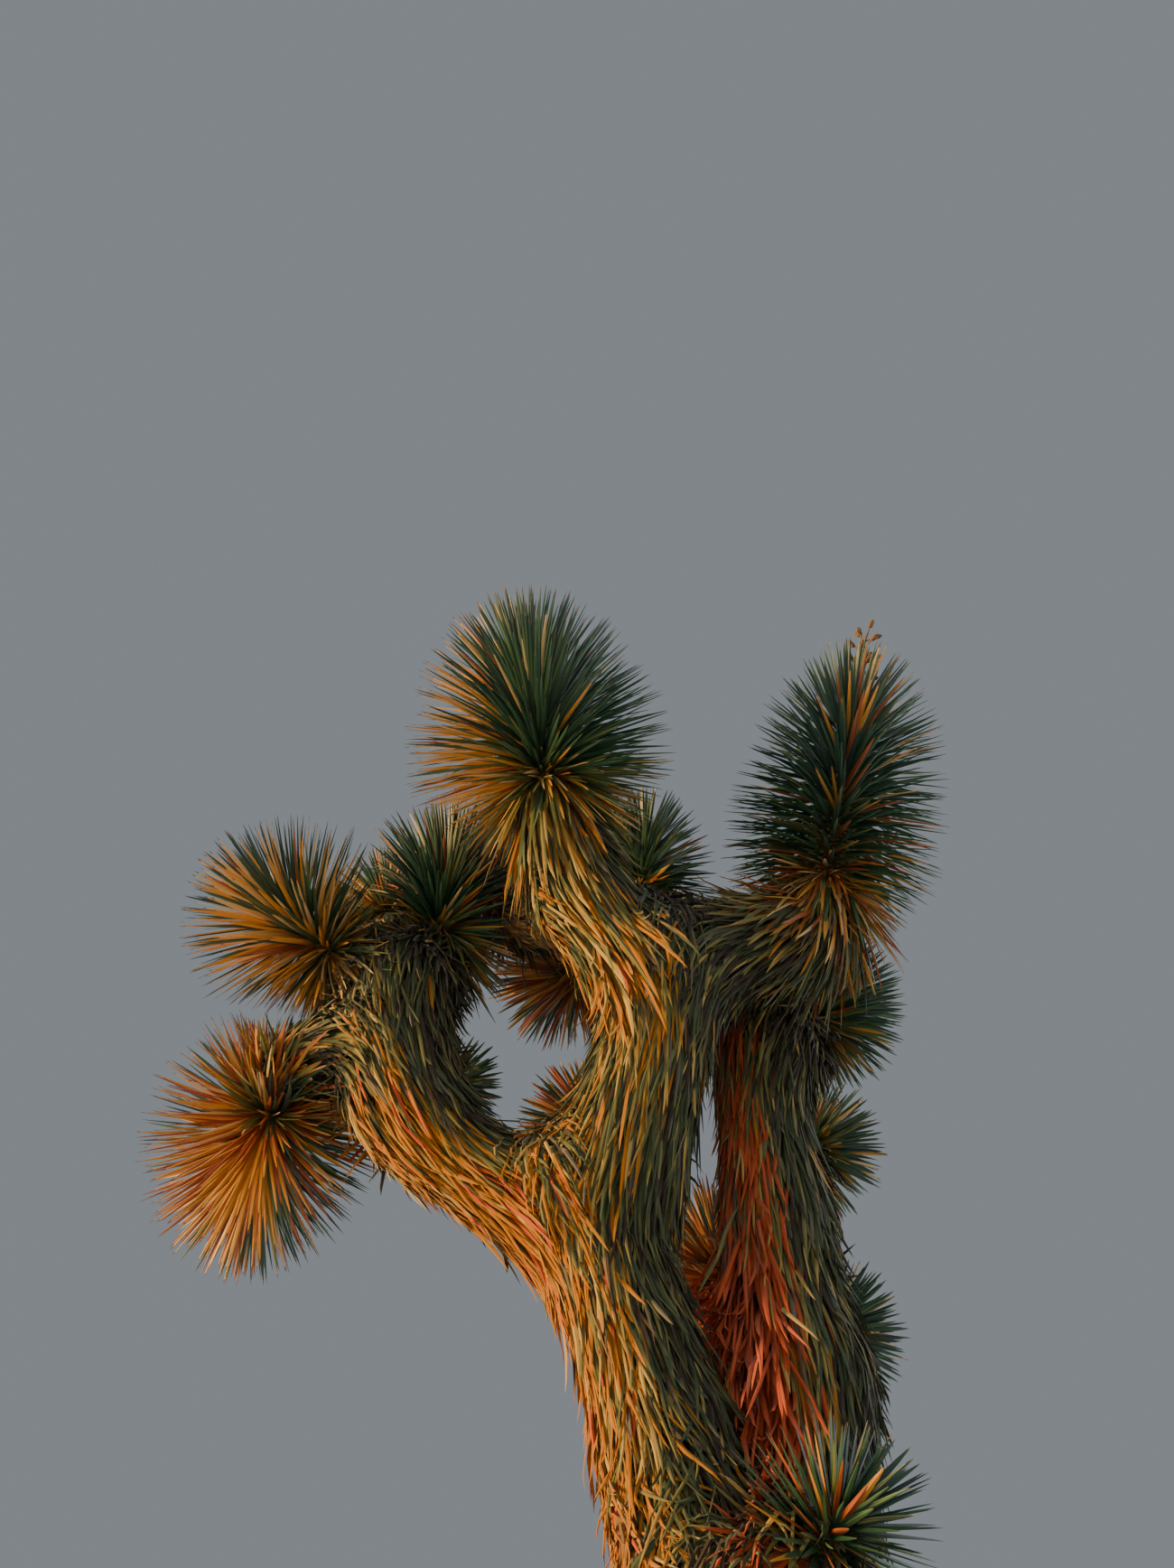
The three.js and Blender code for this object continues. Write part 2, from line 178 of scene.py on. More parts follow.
def new_material(
    name: str, settings: dict[str | int, object]
) -> tuple[bpy.types.Material, bpy.types.NodeTree, bpy.types.Node]:
    """Adds a material.

    Args:
        name: its name.
        settings: values of its shader's inputs.

    Returns:
        The material, its node tree and its Principled shader, which is joined to the output.
    """
    material = bpy.data.materials.new(name)
    material.use_nodes = True
    tree = material.node_tree
    tree.nodes.clear()
    shader = add_node(tree, "BsdfPrincipled", settings)
    add_node(tree, "OutputMaterial", links={"Surface": shader.outputs["BSDF"]})
    return material, tree, shader


def add_object(name: str, data: bpy.types.ID) -> bpy.types.Object:
    """Adds an object to the scene.

    Args:
        name: its name.
        data: its mesh, lamp or camera.

    Returns:
        The object.
    """
    added = bpy.data.objects.new(name, data)
    bpy.context.scene.collection.objects.link(added)
    return added


def make_object(
    bm: bmesh.types.BMesh, name: str, material: bpy.types.Material, smooth: bool = False
) -> bpy.types.Object:
    """Turns a finished bmesh into an object, and frees the bmesh.

    Args:
        bm: the finished bmesh.
        name: name of the object and its mesh.
        material: the one material of all its faces.
        smooth: True for a rounded look.

    Returns:
        The object.
    """
    mesh = bpy.data.meshes.new(name)
    bm.to_mesh(mesh)
    bm.free()
    if smooth:
        mesh.shade_smooth()
    mesh.materials.append(material)
    return add_object(name, mesh)


def barked_bmesh() -> bmesh.types.BMesh:
    """Begins a bmesh of bark.

    Returns:
        A bmesh whose vertices can say how hollow the bark is there and how far thatch covers it.
    """
    bm = bmesh.new()
    bm.verts.layers.float.new("hollow")
    bm.verts.layers.float.new("cover")
    return bm


def cylinder(bm: bmesh.types.BMesh, segments: int, cuts: int) -> list[bmesh.types.BMVert]:
    """Adds an upright cylinder of radius 1 and height 1, cut into rings.

    Args:
        bm: the bmesh that gets it.
        segments: faces round it.
        cuts: rings between its ends.

    Returns:
        Its vertices.
    """
    before = len(bm.verts)
    made = bmesh.ops.create_cone(bm, cap_ends=True, segments=segments, radius1=1, radius2=1, depth=1)
    edges = dict.fromkeys(edge for vert in made["verts"] for edge in vert.link_edges)
    uprights = [edge for edge in edges if abs(edge.verts[0].co.z - edge.verts[1].co.z) > 0.5]
    bmesh.ops.subdivide_edges(bm, edges=uprights, cuts=cuts, use_grid_fill=True)
    bm.verts.ensure_lookup_table()
    return bm.verts[before:]


class Tone(Enum):
    """Colours of a leaf from full life to long dead, and one of painted red light, with what each is called
    and its sRGB colour.
    """

    DEEP = ("deep_green", "#1b3a2c")
    GREEN = ("leaf_green", "#2b4f37")
    SAGE = ("sage_green", "#476a46")
    OLIVE = ("olive", "#646d38")
    GOLD = ("gold", "#c98f38")
    STRAW = ("straw", "#d0b076")
    RUSSET = ("russet", "#9b5028")
    SPINE = ("spine_brown", "#74522f")
    SHEATH = ("pale_sheath", "#b0aa7a")
    DRY_GOLD = ("dry_gold", "#a66806")
    DRY_STRAW = ("dry_straw", "#b0934a")
    KHAKI = ("khaki", "#6d6935")
    MOSS = ("dry_olive", "#3f4b2b")
    TAN = ("tan", "#705636")
    UMBER = ("umber", "#33291b")
    ASH = ("ash_grey", "#5f5a4a")
    # The last tone is no colour of the leaves but painted red light.
    RUST = ("painted_red_light", "#b84c1c")


@dataclass(frozen=True)
class LeafSkin:
    """The skin of a yucca leaf, in one tone.

    A living leaf is waxed and catches a soft long highlight; a dead one has gone dull and fibrous. Both are
    mottled in spots a few centimetres wide. The ribs run along the leaf. Real ones lie about 1 mm apart, and
    here they are drawn wider so that they show.
    """

    tone: Tone
    living: bool
    rib: float = 0.0028
    mottle: float = 0.035

    def material(self) -> bpy.types.Material:
        """Makes the material, once for each tone and state.

        Returns:
            The material.
        """
        word, colour = self.tone.value
        name = ("waxed_leaf_" if self.living else "dead_leaf_") + word
        found = bpy.data.materials.get(name)
        if found:
            return found
        gloss, wax, fuzz, relief = (0.5, 0.18, 0.0, 0.25) if self.living else (0.3, 0.0, 0.15, 0.5)
        smooth, dull = (0.40, 0.60) if self.living else (0.68, 0.92)
        material, tree, shader = new_material(name, {
            "Base Color": linear(colour), "Specular IOR Level": gloss, "Coat Weight": wax,
            "Coat Roughness": 0.38, "Sheen Weight": fuzz})
        along = add_node(tree, "UVMap", {"uv_map": LEAF_MAP})
        waves = {"Scale": WAVE_BAND / self.rib, "Distortion": 1.5, "Detail": 1.0, "Detail Scale": 0.4}
        ribs = add_node(tree, "TexWave", waves, {"Vector": along.outputs["UV"]})
        place = add_node(tree, "TexCoord")
        mottle = add_node(tree, "TexNoise", {"Scale": 1 / self.mottle, "Detail": 3.0},
                          {"Vector": place.outputs["Object"]})
        rough = add_node(tree, "MapRange", {"To Min": smooth, "To Max": dull},
                         {"Value": mottle.outputs["Fac"]})
        bump = add_node(tree, "Bump", {"Strength": relief, "Distance": 0.0006},
                        {"Height": ribs.outputs["Fac"]})
        tree.links.new(rough.outputs["Result"], shader.inputs["Roughness"])
        tree.links.new(bump.outputs["Normal"], shader.inputs["Normal"])
        return material


@dataclass(frozen=True)
class Bark:
    """Corky yucca bark low on the trunk, and the brown fibrous stem under the thatch higher up.

    Both are dull. The bark is grey-brown with dark furrows a few centimetres apart. The stem under the thatch
    is dark umber, darker still between its old leaf bases: painted shade, so that the gaps of the thatch look
    deep.
    Here and there the cork is a warmer brown.
    """

    ridge: str = "#8b7c68"
    furrow: str = "#3f3327"
    # The two colours of the stem under the thatch are painted shade.
    covered_shade: str = "#46351f"
    covered_deep_shade: str = "#231a10"
    warm: str = "#7d6040"
    grain: float = 0.009
    patch: float = 0.11

    def material(self) -> bpy.types.Material:
        """Makes the material, once.

        Returns:
            The material.
        """
        found = bpy.data.materials.get("corky_yucca_bark")
        if found:
            return found
        material, tree, shader = new_material("corky_yucca_bark", {"Specular IOR Level": 0.2})
        hollow = add_node(tree, "Attribute", {"attribute_name": "hollow"})
        cover = add_node(tree, "Attribute", {"attribute_name": "cover"})
        place = add_node(tree, "TexCoord")
        # Stretched four times along the stem, as cork and fibres are.
        stretched = add_node(tree, "Mapping", {"Scale": (1.0, 1.0, 0.25)},
                             {"Vector": place.outputs["Object"]})
        grain = add_node(tree, "TexNoise", {"Scale": 1 / self.grain, "Detail": 5.0, "Roughness": 0.6},
                         {"Vector": stretched.outputs["Vector"]})
        patches = add_node(tree, "TexNoise", {"Scale": 1 / self.patch, "Detail": 2.0},
                           {"Vector": place.outputs["Object"]})
        # Darker where the surface is hollow: between the old leaf bases under the thatch this is painted
        # shade, and on the bare bark it darkens the furrows.
        depth = add_node(tree, "Math", {"operation": "MULTIPLY_ADD", 1: 0.55, "use_clamp": True},
                         {0: grain.outputs["Fac"], 2: hollow.outputs["Fac"]})
        shade = add_node(tree, "MapRange", {"From Min": 0.25, "From Max": 1.0},
                         {"Value": depth.outputs["Value"]})
        bare, under = (
            add_node(tree, "Mix", {"data_type": "RGBA", 6: linear(high), 7: linear(low)},
                     {0: shade.outputs["Result"]})
            for high, low in ((self.ridge, self.furrow), (self.covered_shade, self.covered_deep_shade))
        )
        both = add_node(tree, "Mix", {"data_type": "RGBA"},
                        {0: cover.outputs["Fac"], 6: bare.outputs[2], 7: under.outputs[2]})
        warmth = add_node(tree, "MapRange",
                          {"From Min": 0.35, "From Max": 0.7, "To Min": 0.0, "To Max": 0.35},
                          {"Value": patches.outputs["Fac"]})
        final = add_node(tree, "Mix", {"data_type": "RGBA", 7: linear(self.warm)},
                         {0: warmth.outputs["Result"], 6: both.outputs[2]})
        rough = add_node(tree, "MapRange", {"To Min": 0.8, "To Max": 1.0}, {"Value": grain.outputs["Fac"]})
        bump = add_node(tree, "Bump", {"Strength": 0.7, "Distance": 0.003}, {"Height": grain.outputs["Fac"]})
        tree.links.new(final.outputs[2], shader.inputs["Base Color"])
        tree.links.new(rough.outputs["Result"], shader.inputs["Roughness"])
        tree.links.new(bump.outputs["Normal"], shader.inputs["Normal"])
        return material


@dataclass(frozen=True)
class Plaster:
    """A smooth matt plaster floor, pale, with a trace of trowelling."""

    colour: str = "#d9d6cf"
    stroke: float = 0.4

    def material(self) -> bpy.types.Material:
        """Makes the floor's material.

        Returns:
            The material.
        """
        material, tree, shader = new_material("pale_plaster", {"Base Color": linear(self.colour)})
        place = add_node(tree, "TexCoord")
        trowel = add_node(tree, "TexNoise", {"Scale": 1 / self.stroke, "Detail": 4.0},
                          {"Vector": place.outputs["Object"]})
        rough = add_node(tree, "MapRange", {"To Min": 0.75, "To Max": 0.9}, {"Value": trowel.outputs["Fac"]})
        tree.links.new(rough.outputs["Result"], shader.inputs["Roughness"])
        return material


@dataclass
class Limb:
    """One tapering limb.

    Its centre line starts in the direction foot and turns steadily to the direction tip, each given as a
    compass angle and a rise in degrees. Its radius is given at the foot and at the tip, out to the ends of
    its thatch. Once it is laid, line holds the places of the centre line, and ahead and across hold the
    directions along and across it there.

    Args:
        at: share of the parent's centre line at which it leaves.
        bends: directions between those two, evenly spread along it.
        knuckle: True where it ends in a rounded knuckle that other limbs grow from.
    """

    name: str
    foot: tuple[float, float]
    tip: tuple[float, float]
    length: float
    radius: tuple[float, float]
    parent: str | None = None
    at: float = 1.0
    knuckle: bool = False
    bends: tuple[tuple[float, float], ...] = ()
    line: Array = field(init=False, repr=False)
    ahead: Array = field(init=False, repr=False)
    across: Array = field(init=False, repr=False)

    def walk(self, start: Array) -> None:
        """Lays the centre line, and the directions along and across it.

        Args:
            start: where it starts.
        """
        ways = np.array([direction(*way) for way in (self.foot, *self.bends, self.tip)])
        late = 1 if self.parent else TRUNK_LATE
        place = ((np.arange(PATH_STEPS) + 0.5) / PATH_STEPS) ** late * (len(ways) - 1)
        k = place.astype(int)
        steps = unit(lerp(ways[k], ways[k + 1], (place - k)[:, None])) * self.length / PATH_STEPS
        self.line = np.vstack([start, start + np.cumsum(steps, axis=0)])
        self.ahead = unit(np.gradient(self.line, axis=0))
        self.ahead[-1] = ways[-1]
        if not self.parent:
            self.ahead[0] = (0, 0, 1)
        side = np.array([1.0, 0.0, 0.0])
        sides = []
        for heading in self.ahead:
            side = unit(side - heading * (side @ heading))
            sides.append(side)
        self.across = np.array(sides)

    def frame_at(self, share: Array) -> tuple[Array, Array, Array, Array]:
        """Places on the centre line.

        Args:
            share: shares of the way along, from 0 to 1; below 0 the line goes straight on backwards.

        Returns:
            The places, and the directions ahead, across and round the limb there.
        """
        place = np.clip(share, 0, 1) * PATH_STEPS
        i = np.minimum(place.astype(int), PATH_STEPS - 1)
        mix = (place - i)[..., None]
        centre = lerp(self.line[i], self.line[i + 1], mix)
        ahead = unit(lerp(self.ahead[i], self.ahead[i + 1], mix))
        across = lerp(self.across[i], self.across[i + 1], mix)
        across = unit(across - ahead * dot(across, ahead))
        centre = centre + ahead * (np.minimum(share, 0) * self.length)[..., None]
        return centre, ahead, across, np.cross(across, ahead)

    def outer(self, share: Array, angle: Array | float = 0.0) -> Array:
        """Radius out to the ends of the thatch.

        Args:
            share: shares of the way along.
            angle: angles round the limb, which count on the trunk alone.

        Returns:
            The radii.
        """
        share = np.clip(share, 0, 1)
        plain = lerp(self.radius[0], self.radius[1], share)
        if self.parent:
            return plain * lerp(FOOT_WIDTH, 1, smoothstep(share, 0, FOOT_SHARE))
        fade = np.exp(-share * self.length / FLARE_HEIGHT)
        lobe = 1 + LOBE_DEPTH * fade * np.cos(LOBES * angle)
        return (plain + FLARE_WIDTH * fade) * lobe + self.relief(share, angle)

    def relief(self, share: Array, angle: Array | float) -> Array:
        """The trunk's main relief: ridges of bark low down, and tiers of hanging tufts above.

        Args:
            share: shares of the way along.
            angle: angles round the trunk.

        Returns:
            How far it stands out there.
        """
        height = np.clip(share, 0, 1) * self.length
        cover = self.cover(share)
        fade = np.exp(-height / FLARE_HEIGHT)
        ridge = RIDGE_DEPTH * np.cos(LOBES * angle + height / RIDGE_TWIST) * (1 - cover) * (1 - fade)
        row = height / TIER
        part = row - np.floor(row)
        tier = np.floor(row) + (part >= TIER_BACK)
        out = np.where(part < TIER_BACK, 1 - part / TIER_BACK, (part - TIER_BACK) / (1 - TIER_BACK))
        tuft = 0.55 + 0.45 * np.cos(TUFTS * angle + math.pi * tier)
        return ridge + TIER_DEPTH * out * tuft * cover

    def angle_of(self, share: Array, outward: Array) -> Array:
        """Angles round the limb of directions that point out from its centre line."""
        _, _, across, sideways = self.frame_at(share)
        return np.arctan2(np.sum(outward * sideways, axis=-1), np.sum(outward * across, axis=-1))

    def cover(self, share: Array) -> Array:
        """How far the thatch covers the limb.

        Args:
            share: shares of the way along.

        Returns:
            0 where it is bare to 1 where it is fully covered.
        """
        if self.parent:
            return np.ones_like(share)
        return smoothstep(share * self.length, BARK_TOP, THATCH_WHOLE)

    def thatch(self, share: Array) -> Array:
        """Depth of the thatch at a share of the way along."""
        return np.minimum(THATCH_DEPTH, THATCH_SHARE * self.outer(share)) * self.cover(share)

    def wood(self, share: Array, angle: Array | float = 0.0) -> Array:
        """Radius of the wood under the thatch."""
        return self.outer(share, angle) - self.thatch(share)

    def surface(
        self, share: Array, angle: Array, lift: Array | float = 0.0
    ) -> tuple[Array, Array, Array]:
        """Places over the wood.

        Args:
            share: shares of the way along; above 1 they go over the knuckle, by arc.
            angle: angles round the limb.
            lift: heights over the wood.

        Returns:
            The places, and the directions outward and back down the limb there.
        """
        centre, ahead, across, sideways = self.frame_at(share)
        radial = across * np.cos(angle)[..., None] + sideways * np.sin(angle)[..., None]
        radius = self.wood(share, angle)
        arc = np.clip((share - 1) * self.length / radius, 0, math.pi / 2)[..., None]
        outward = unit(radial * np.cos(arc) + ahead * np.sin(arc))
        down = unit(radial * np.sin(arc) - ahead * np.cos(arc))
        reach = (radius + lift)[..., None]
        return centre + radial * np.cos(arc) * reach + ahead * np.sin(arc) * reach, outward, down

    def nearest(self, points: Array) -> tuple[Array, Array, Array]:
        """The nearest places of the centre line.

        Args:
            points: places anywhere.

        Returns:
            Distances, shares of the way along, and unit vectors from the line to the points.
        """
        start, step = self.line[:-1], np.diff(self.line, axis=0)
        away = points[..., None, :] - start
        t = np.clip(np.sum(away * step, axis=-1) / np.sum(step * step, axis=-1), 0, 1)
        away = away - t[..., None] * step
        distance = np.linalg.norm(away, axis=-1)
        k = np.argmin(distance, axis=-1)[..., None]
        least = np.take_along_axis(distance, k, -1)
        share = (k + np.take_along_axis(t, k, -1))[..., 0] / PATH_STEPS
        outward = np.take_along_axis(away, k[..., None], -2)[..., 0, :] / np.maximum(least, 1e-9)
        return least[..., 0], share, outward


LIMBS = [
    Limb("trunk", (11, 87.8), (218, 64), 3.145, (0.152, 0.114), knuckle=True),
    Limb("right_stem", (7, 54), (-72, 71), 1.605, (0.114, 0.108), "trunk", 0.66, knuckle=True,
         bends=((-113, 81),)),
    Limb("left_bough", (-168, 14), (-146, 56), 0.565, (0.104, 0.098), "trunk", 0.97, knuckle=True,
         bends=((-163, 30),)),
    Limb("left_bough_upper", (-113, 64), (-90, 72), 0.290, (0.098, 0.090), "left_bough", 0.97, knuckle=True),
    Limb("centre_bough", (-61, 33), (-74, 69), 0.600, (0.138, 0.122), "trunk", 0.97, knuckle=True),
    Limb("bough_top", (-151, 22), (-105, 51), 0.570, (0.112, 0.084), "centre_bough", 0.95,
         bends=((-124, 37),)),
    Limb("bough_right", (-3, 27), (-70, 47), 0.515, (0.125, 0.098), "centre_bough", 1,
         bends=((-3, 27), (-3, 27))),
    Limb("bough_leader", (113, 55), (-76, 65), 0.505, (0.095, 0.075), "centre_bough", 0.98),
    Limb("bough_under_fork", (122, 59), (138, 46), 0.390, (0.075, 0.062), "bough_leader", 0.25),
    Limb("bough_far_middle", (128, 33), (180, 78), 0.615, (0.075, 0.060), "bough_top", 0.45),
    Limb("bough_left", (174, 46), (-152, 25), 0.230, (0.082, 0.072), "left_bough_upper", 0.85),
    Limb("bough_low_left", (-161, 13), (108, -3), 0.400, (0.075, 0.065), "left_bough_upper", 0.3),
    Limb("bough_inner_left", (-6, 60), (-75, 72), 0.195, (0.080, 0.070), "left_bough_upper", 0.97),
    Limb("bough_far_left", (135, 65), (-135, 82), 0.605, (0.060, 0.055), "left_bough_upper", 0.7),
    Limb("bough_elbow", (145, 55), (49, 56), 0.380, (0.070, 0.055), "left_bough", 0.8),
    Limb("bough_back_middle", (48, 63), (117, 62), 0.660, (0.085, 0.070), "trunk", 0.98),
    Limb("bough_back_gap", (102, 56), (96, 63), 0.790, (0.080, 0.065), "right_stem", 0.45),
    Limb("bough_right_stem", (21, 50), (21, 65), 0.340, (0.090, 0.070), "right_stem", 0.95),
    Limb("bough_back_right", (72, 63), (41, 62), 0.660, (0.080, 0.068), "right_stem", 0.66),
    Limb("bough_low_right", (114, 53), (40, 38), 0.505, (0.070, 0.060), "right_stem", 0.46),
    Limb("bough_trunk_shoot", (-29, 57), (-41, 23), 0.260, (0.065, 0.055), "trunk", 0.69),
]


@dataclass(frozen=True)
class Coat:
    """How the dead leaves of one limb hang, and how their tones are dealt, with painted light on the side
    that the light comes from.

    Args:
        crowding: leaves for each square metre.
        lengths: least and greatest length of a leaf.
        widths: least and greatest width of one.
        sway: how far the leaves stray from straight down the limb, in degrees.
        dome: how far round a knuckle leaves are rooted, in radians.
        broom: length of limb below a head on which the leaves are fresher, longer and stand off.
        beard: shares of the way along between which a tuft of the freshest leaves stands off, or None.
        light_from: direction from which the warm light comes; the leaves facing it are painted golden, as
            painted light.
        fade: how much more golden the whole coat is, or, below 0, how much darker it is painted, as painted
            shade.
        painted_light_gold: how much more golden, as painted light, the side facing the light is than the
            other.
        painted_red_light: value from which the most golden leaves are given the red tone of painted red
            light.
        glow: how much more golden the freshest leaves are.
    """

    crowding: float = 3900.0
    lengths: tuple[float, float] = (0.145, 0.26)
    widths: tuple[float, float] = (0.0062, 0.0112)
    sway: float = 7.5
    dome: float = 1.0
    broom: float = 0.25
    beard: tuple[float, float] | None = None
    light_from: tuple[float, float, float] = (-0.93, -0.05, -0.30)
    fade: float = 0.0
    painted_light_gold: float = 0.56
    painted_red_light: float = 1.20
    glow: float = 0.12

    def facing(self, outward: Array) -> Array:
        """How squarely directions face the side that the warm light comes from, from -1 to 1."""
        return outward @ unit(np.array(self.light_from))


# Coats that differ from the usual one. Their light directions and their golden and red values paint warm and
# red light on the side that the light comes from; a fade below 0 paints shade over a whole coat.
COATS = {
    "trunk": Coat(painted_light_gold=0.64, painted_red_light=1.28),
    "right_stem": Coat(beard=(0.22, 0.64), light_from=(-1.0, -0.10, -0.10), fade=0.02, painted_red_light=0.78, glow=0.30),
    "left_bough": Coat(light_from=(-0.60, -0.30, -0.75), painted_light_gold=0.66, painted_red_light=1.18),
    "left_bough_upper": Coat(painted_light_gold=0.36),
    "centre_bough": Coat(light_from=(-0.80, -0.50, -0.35), painted_light_gold=0.30, fade=0.02),
    "bough_top": Coat(sway=5.0, broom=0.14, beard=(0.20, 0.38), light_from=(-0.45, -0.70, -0.55), fade=-0.16,
                      painted_light_gold=0.30, glow=0.34),
    "bough_right": Coat(painted_light_gold=0.36),
    "bough_left": Coat(broom=0.12, fade=-0.25, painted_light_gold=0.40),
    "bough_low_left": Coat(lengths=(0.10, 0.18), broom=0.10, fade=-0.25, painted_light_gold=0.36),
    "bough_inner_left": Coat(fade=-0.12, painted_light_gold=0.36),
    "bough_back_gap": Coat(sway=12.0, broom=0.65, light_from=(-0.5, -0.7, -0.5), fade=0.15, painted_red_light=0.70),
    "bough_back_middle": Coat(painted_red_light=0.80),
    "bough_trunk_shoot": Coat(lengths=(0.09, 0.15), fade=0.05, painted_red_light=0.70),
}


@dataclass
class Skeleton:
    """All limbs, laid out from the ground up."""

    limbs: dict[str, Limb] = field(default_factory=dict)

    def lay(self) -> None:
        """Walks every limb from the place where it leaves its parent."""
        for limb in LIMBS:
            start = np.zeros(3)
            if limb.parent:
                start = self.limbs[limb.parent].frame_at(np.array(limb.at))[0]
            limb.walk(start)
            self.limbs[limb.name] = limb

    def near(self, limb: Limb) -> list[Limb]:
        """The other limbs that a leaf hanging on this one may touch.

        Args:
            limb: the limb that it hangs on.

        Returns:
            The others.
        """
        found = []
        for other in self.limbs.values():
            if other is not limb:
                gap = other.nearest(limb.line)[0].min() - other.radius[0] - limb.radius[0]
                if gap < NEAR:
                    found.append(other)
        return found

    def body(self, limbs: list[Limb], points: Array) -> tuple[Array, Array, Array]:
        """The wood of some limbs as one body whose forks are filled in smoothly.

        Args:
            limbs: the limbs that count.
            points: places near them.

        Returns:
            How far each place stands over the wood, the direction outward there, and the direction back down
            the limbs.
        """
        gaps, outs, downs = [], [], []
        for limb in limbs:
            distance, share, outward = limb.nearest(points)
            gaps.append(distance - limb.wood(share, limb.angle_of(share, outward)))
            outs.append(outward)
            downs.append(-limb.frame_at(share)[1])
        gap = np.array(gaps)
        least = gap.min(axis=0)
        weight = np.exp(-(gap - least) / FILLET)
        total = weight.sum(axis=0)
        outward = unit(np.sum(np.array(outs) * weight[..., None], axis=0))
        down = np.sum(np.array(downs) * weight[..., None], axis=0)
        down = unit(down - outward * dot(down, outward))
        return least - FILLET * np.log(total), outward, down

    def outside(self, points: Array, room: Array, bare: Limb) -> Array:
        """Tells which points keep clear of the limbs.

        Args:
            points: the points.
            room: how much room each needs.
            bare: a limb of which only the wood counts, and no room is asked.

        Returns:
            True for each point that keeps clear.
        """
        free = np.ones(points.shape[:-1], bool)
        for limb in self.limbs.values():
            distance, share, _ = limb.nearest(points)
            if limb is bare:
                free &= distance > limb.wood(share)
            else:
                free &= distance - limb.outer(share) > room
        return free


@dataclass(frozen=True)
class BladeForm:
    """Outline of a narrow pointed blade.

    Args:
        shares: how far along the blade its rings lie.
        widths: width at each ring, as a share of the widest.
        depths: height of the keel at each ring, as a share of the highest.
        spine: True where the point past the last ring has a tone of its own.
        sheath: True where the stretch before the second ring has one.
    """

    shares: tuple[float, ...]
    widths: tuple[float, ...]
    depths: tuple[float, ...]
    spine: bool = False
    sheath: bool = False


# A living leaf: a dagger with a brown spine at its point and a pale sheath at its foot.
DAGGER = BladeForm(
    shares=(0.0, 0.10, 0.45, 0.80, 0.95, 1.0),
    widths=(1.2, 1.0, 0.95, 0.55, 0.22),
    depths=(0.9, 1.0, 0.9, 0.5, 0.2),
    spine=True,
    sheath=True,
)
# A dead leaf of the thatch, with its point worn short.
STRAP = BladeForm(
    shares=(0.0, 0.30, 0.62, 0.87, 1.0), widths=(0.85, 1.0, 0.92, 0.60), depths=(0.8, 1.0, 0.9, 0.6)
)


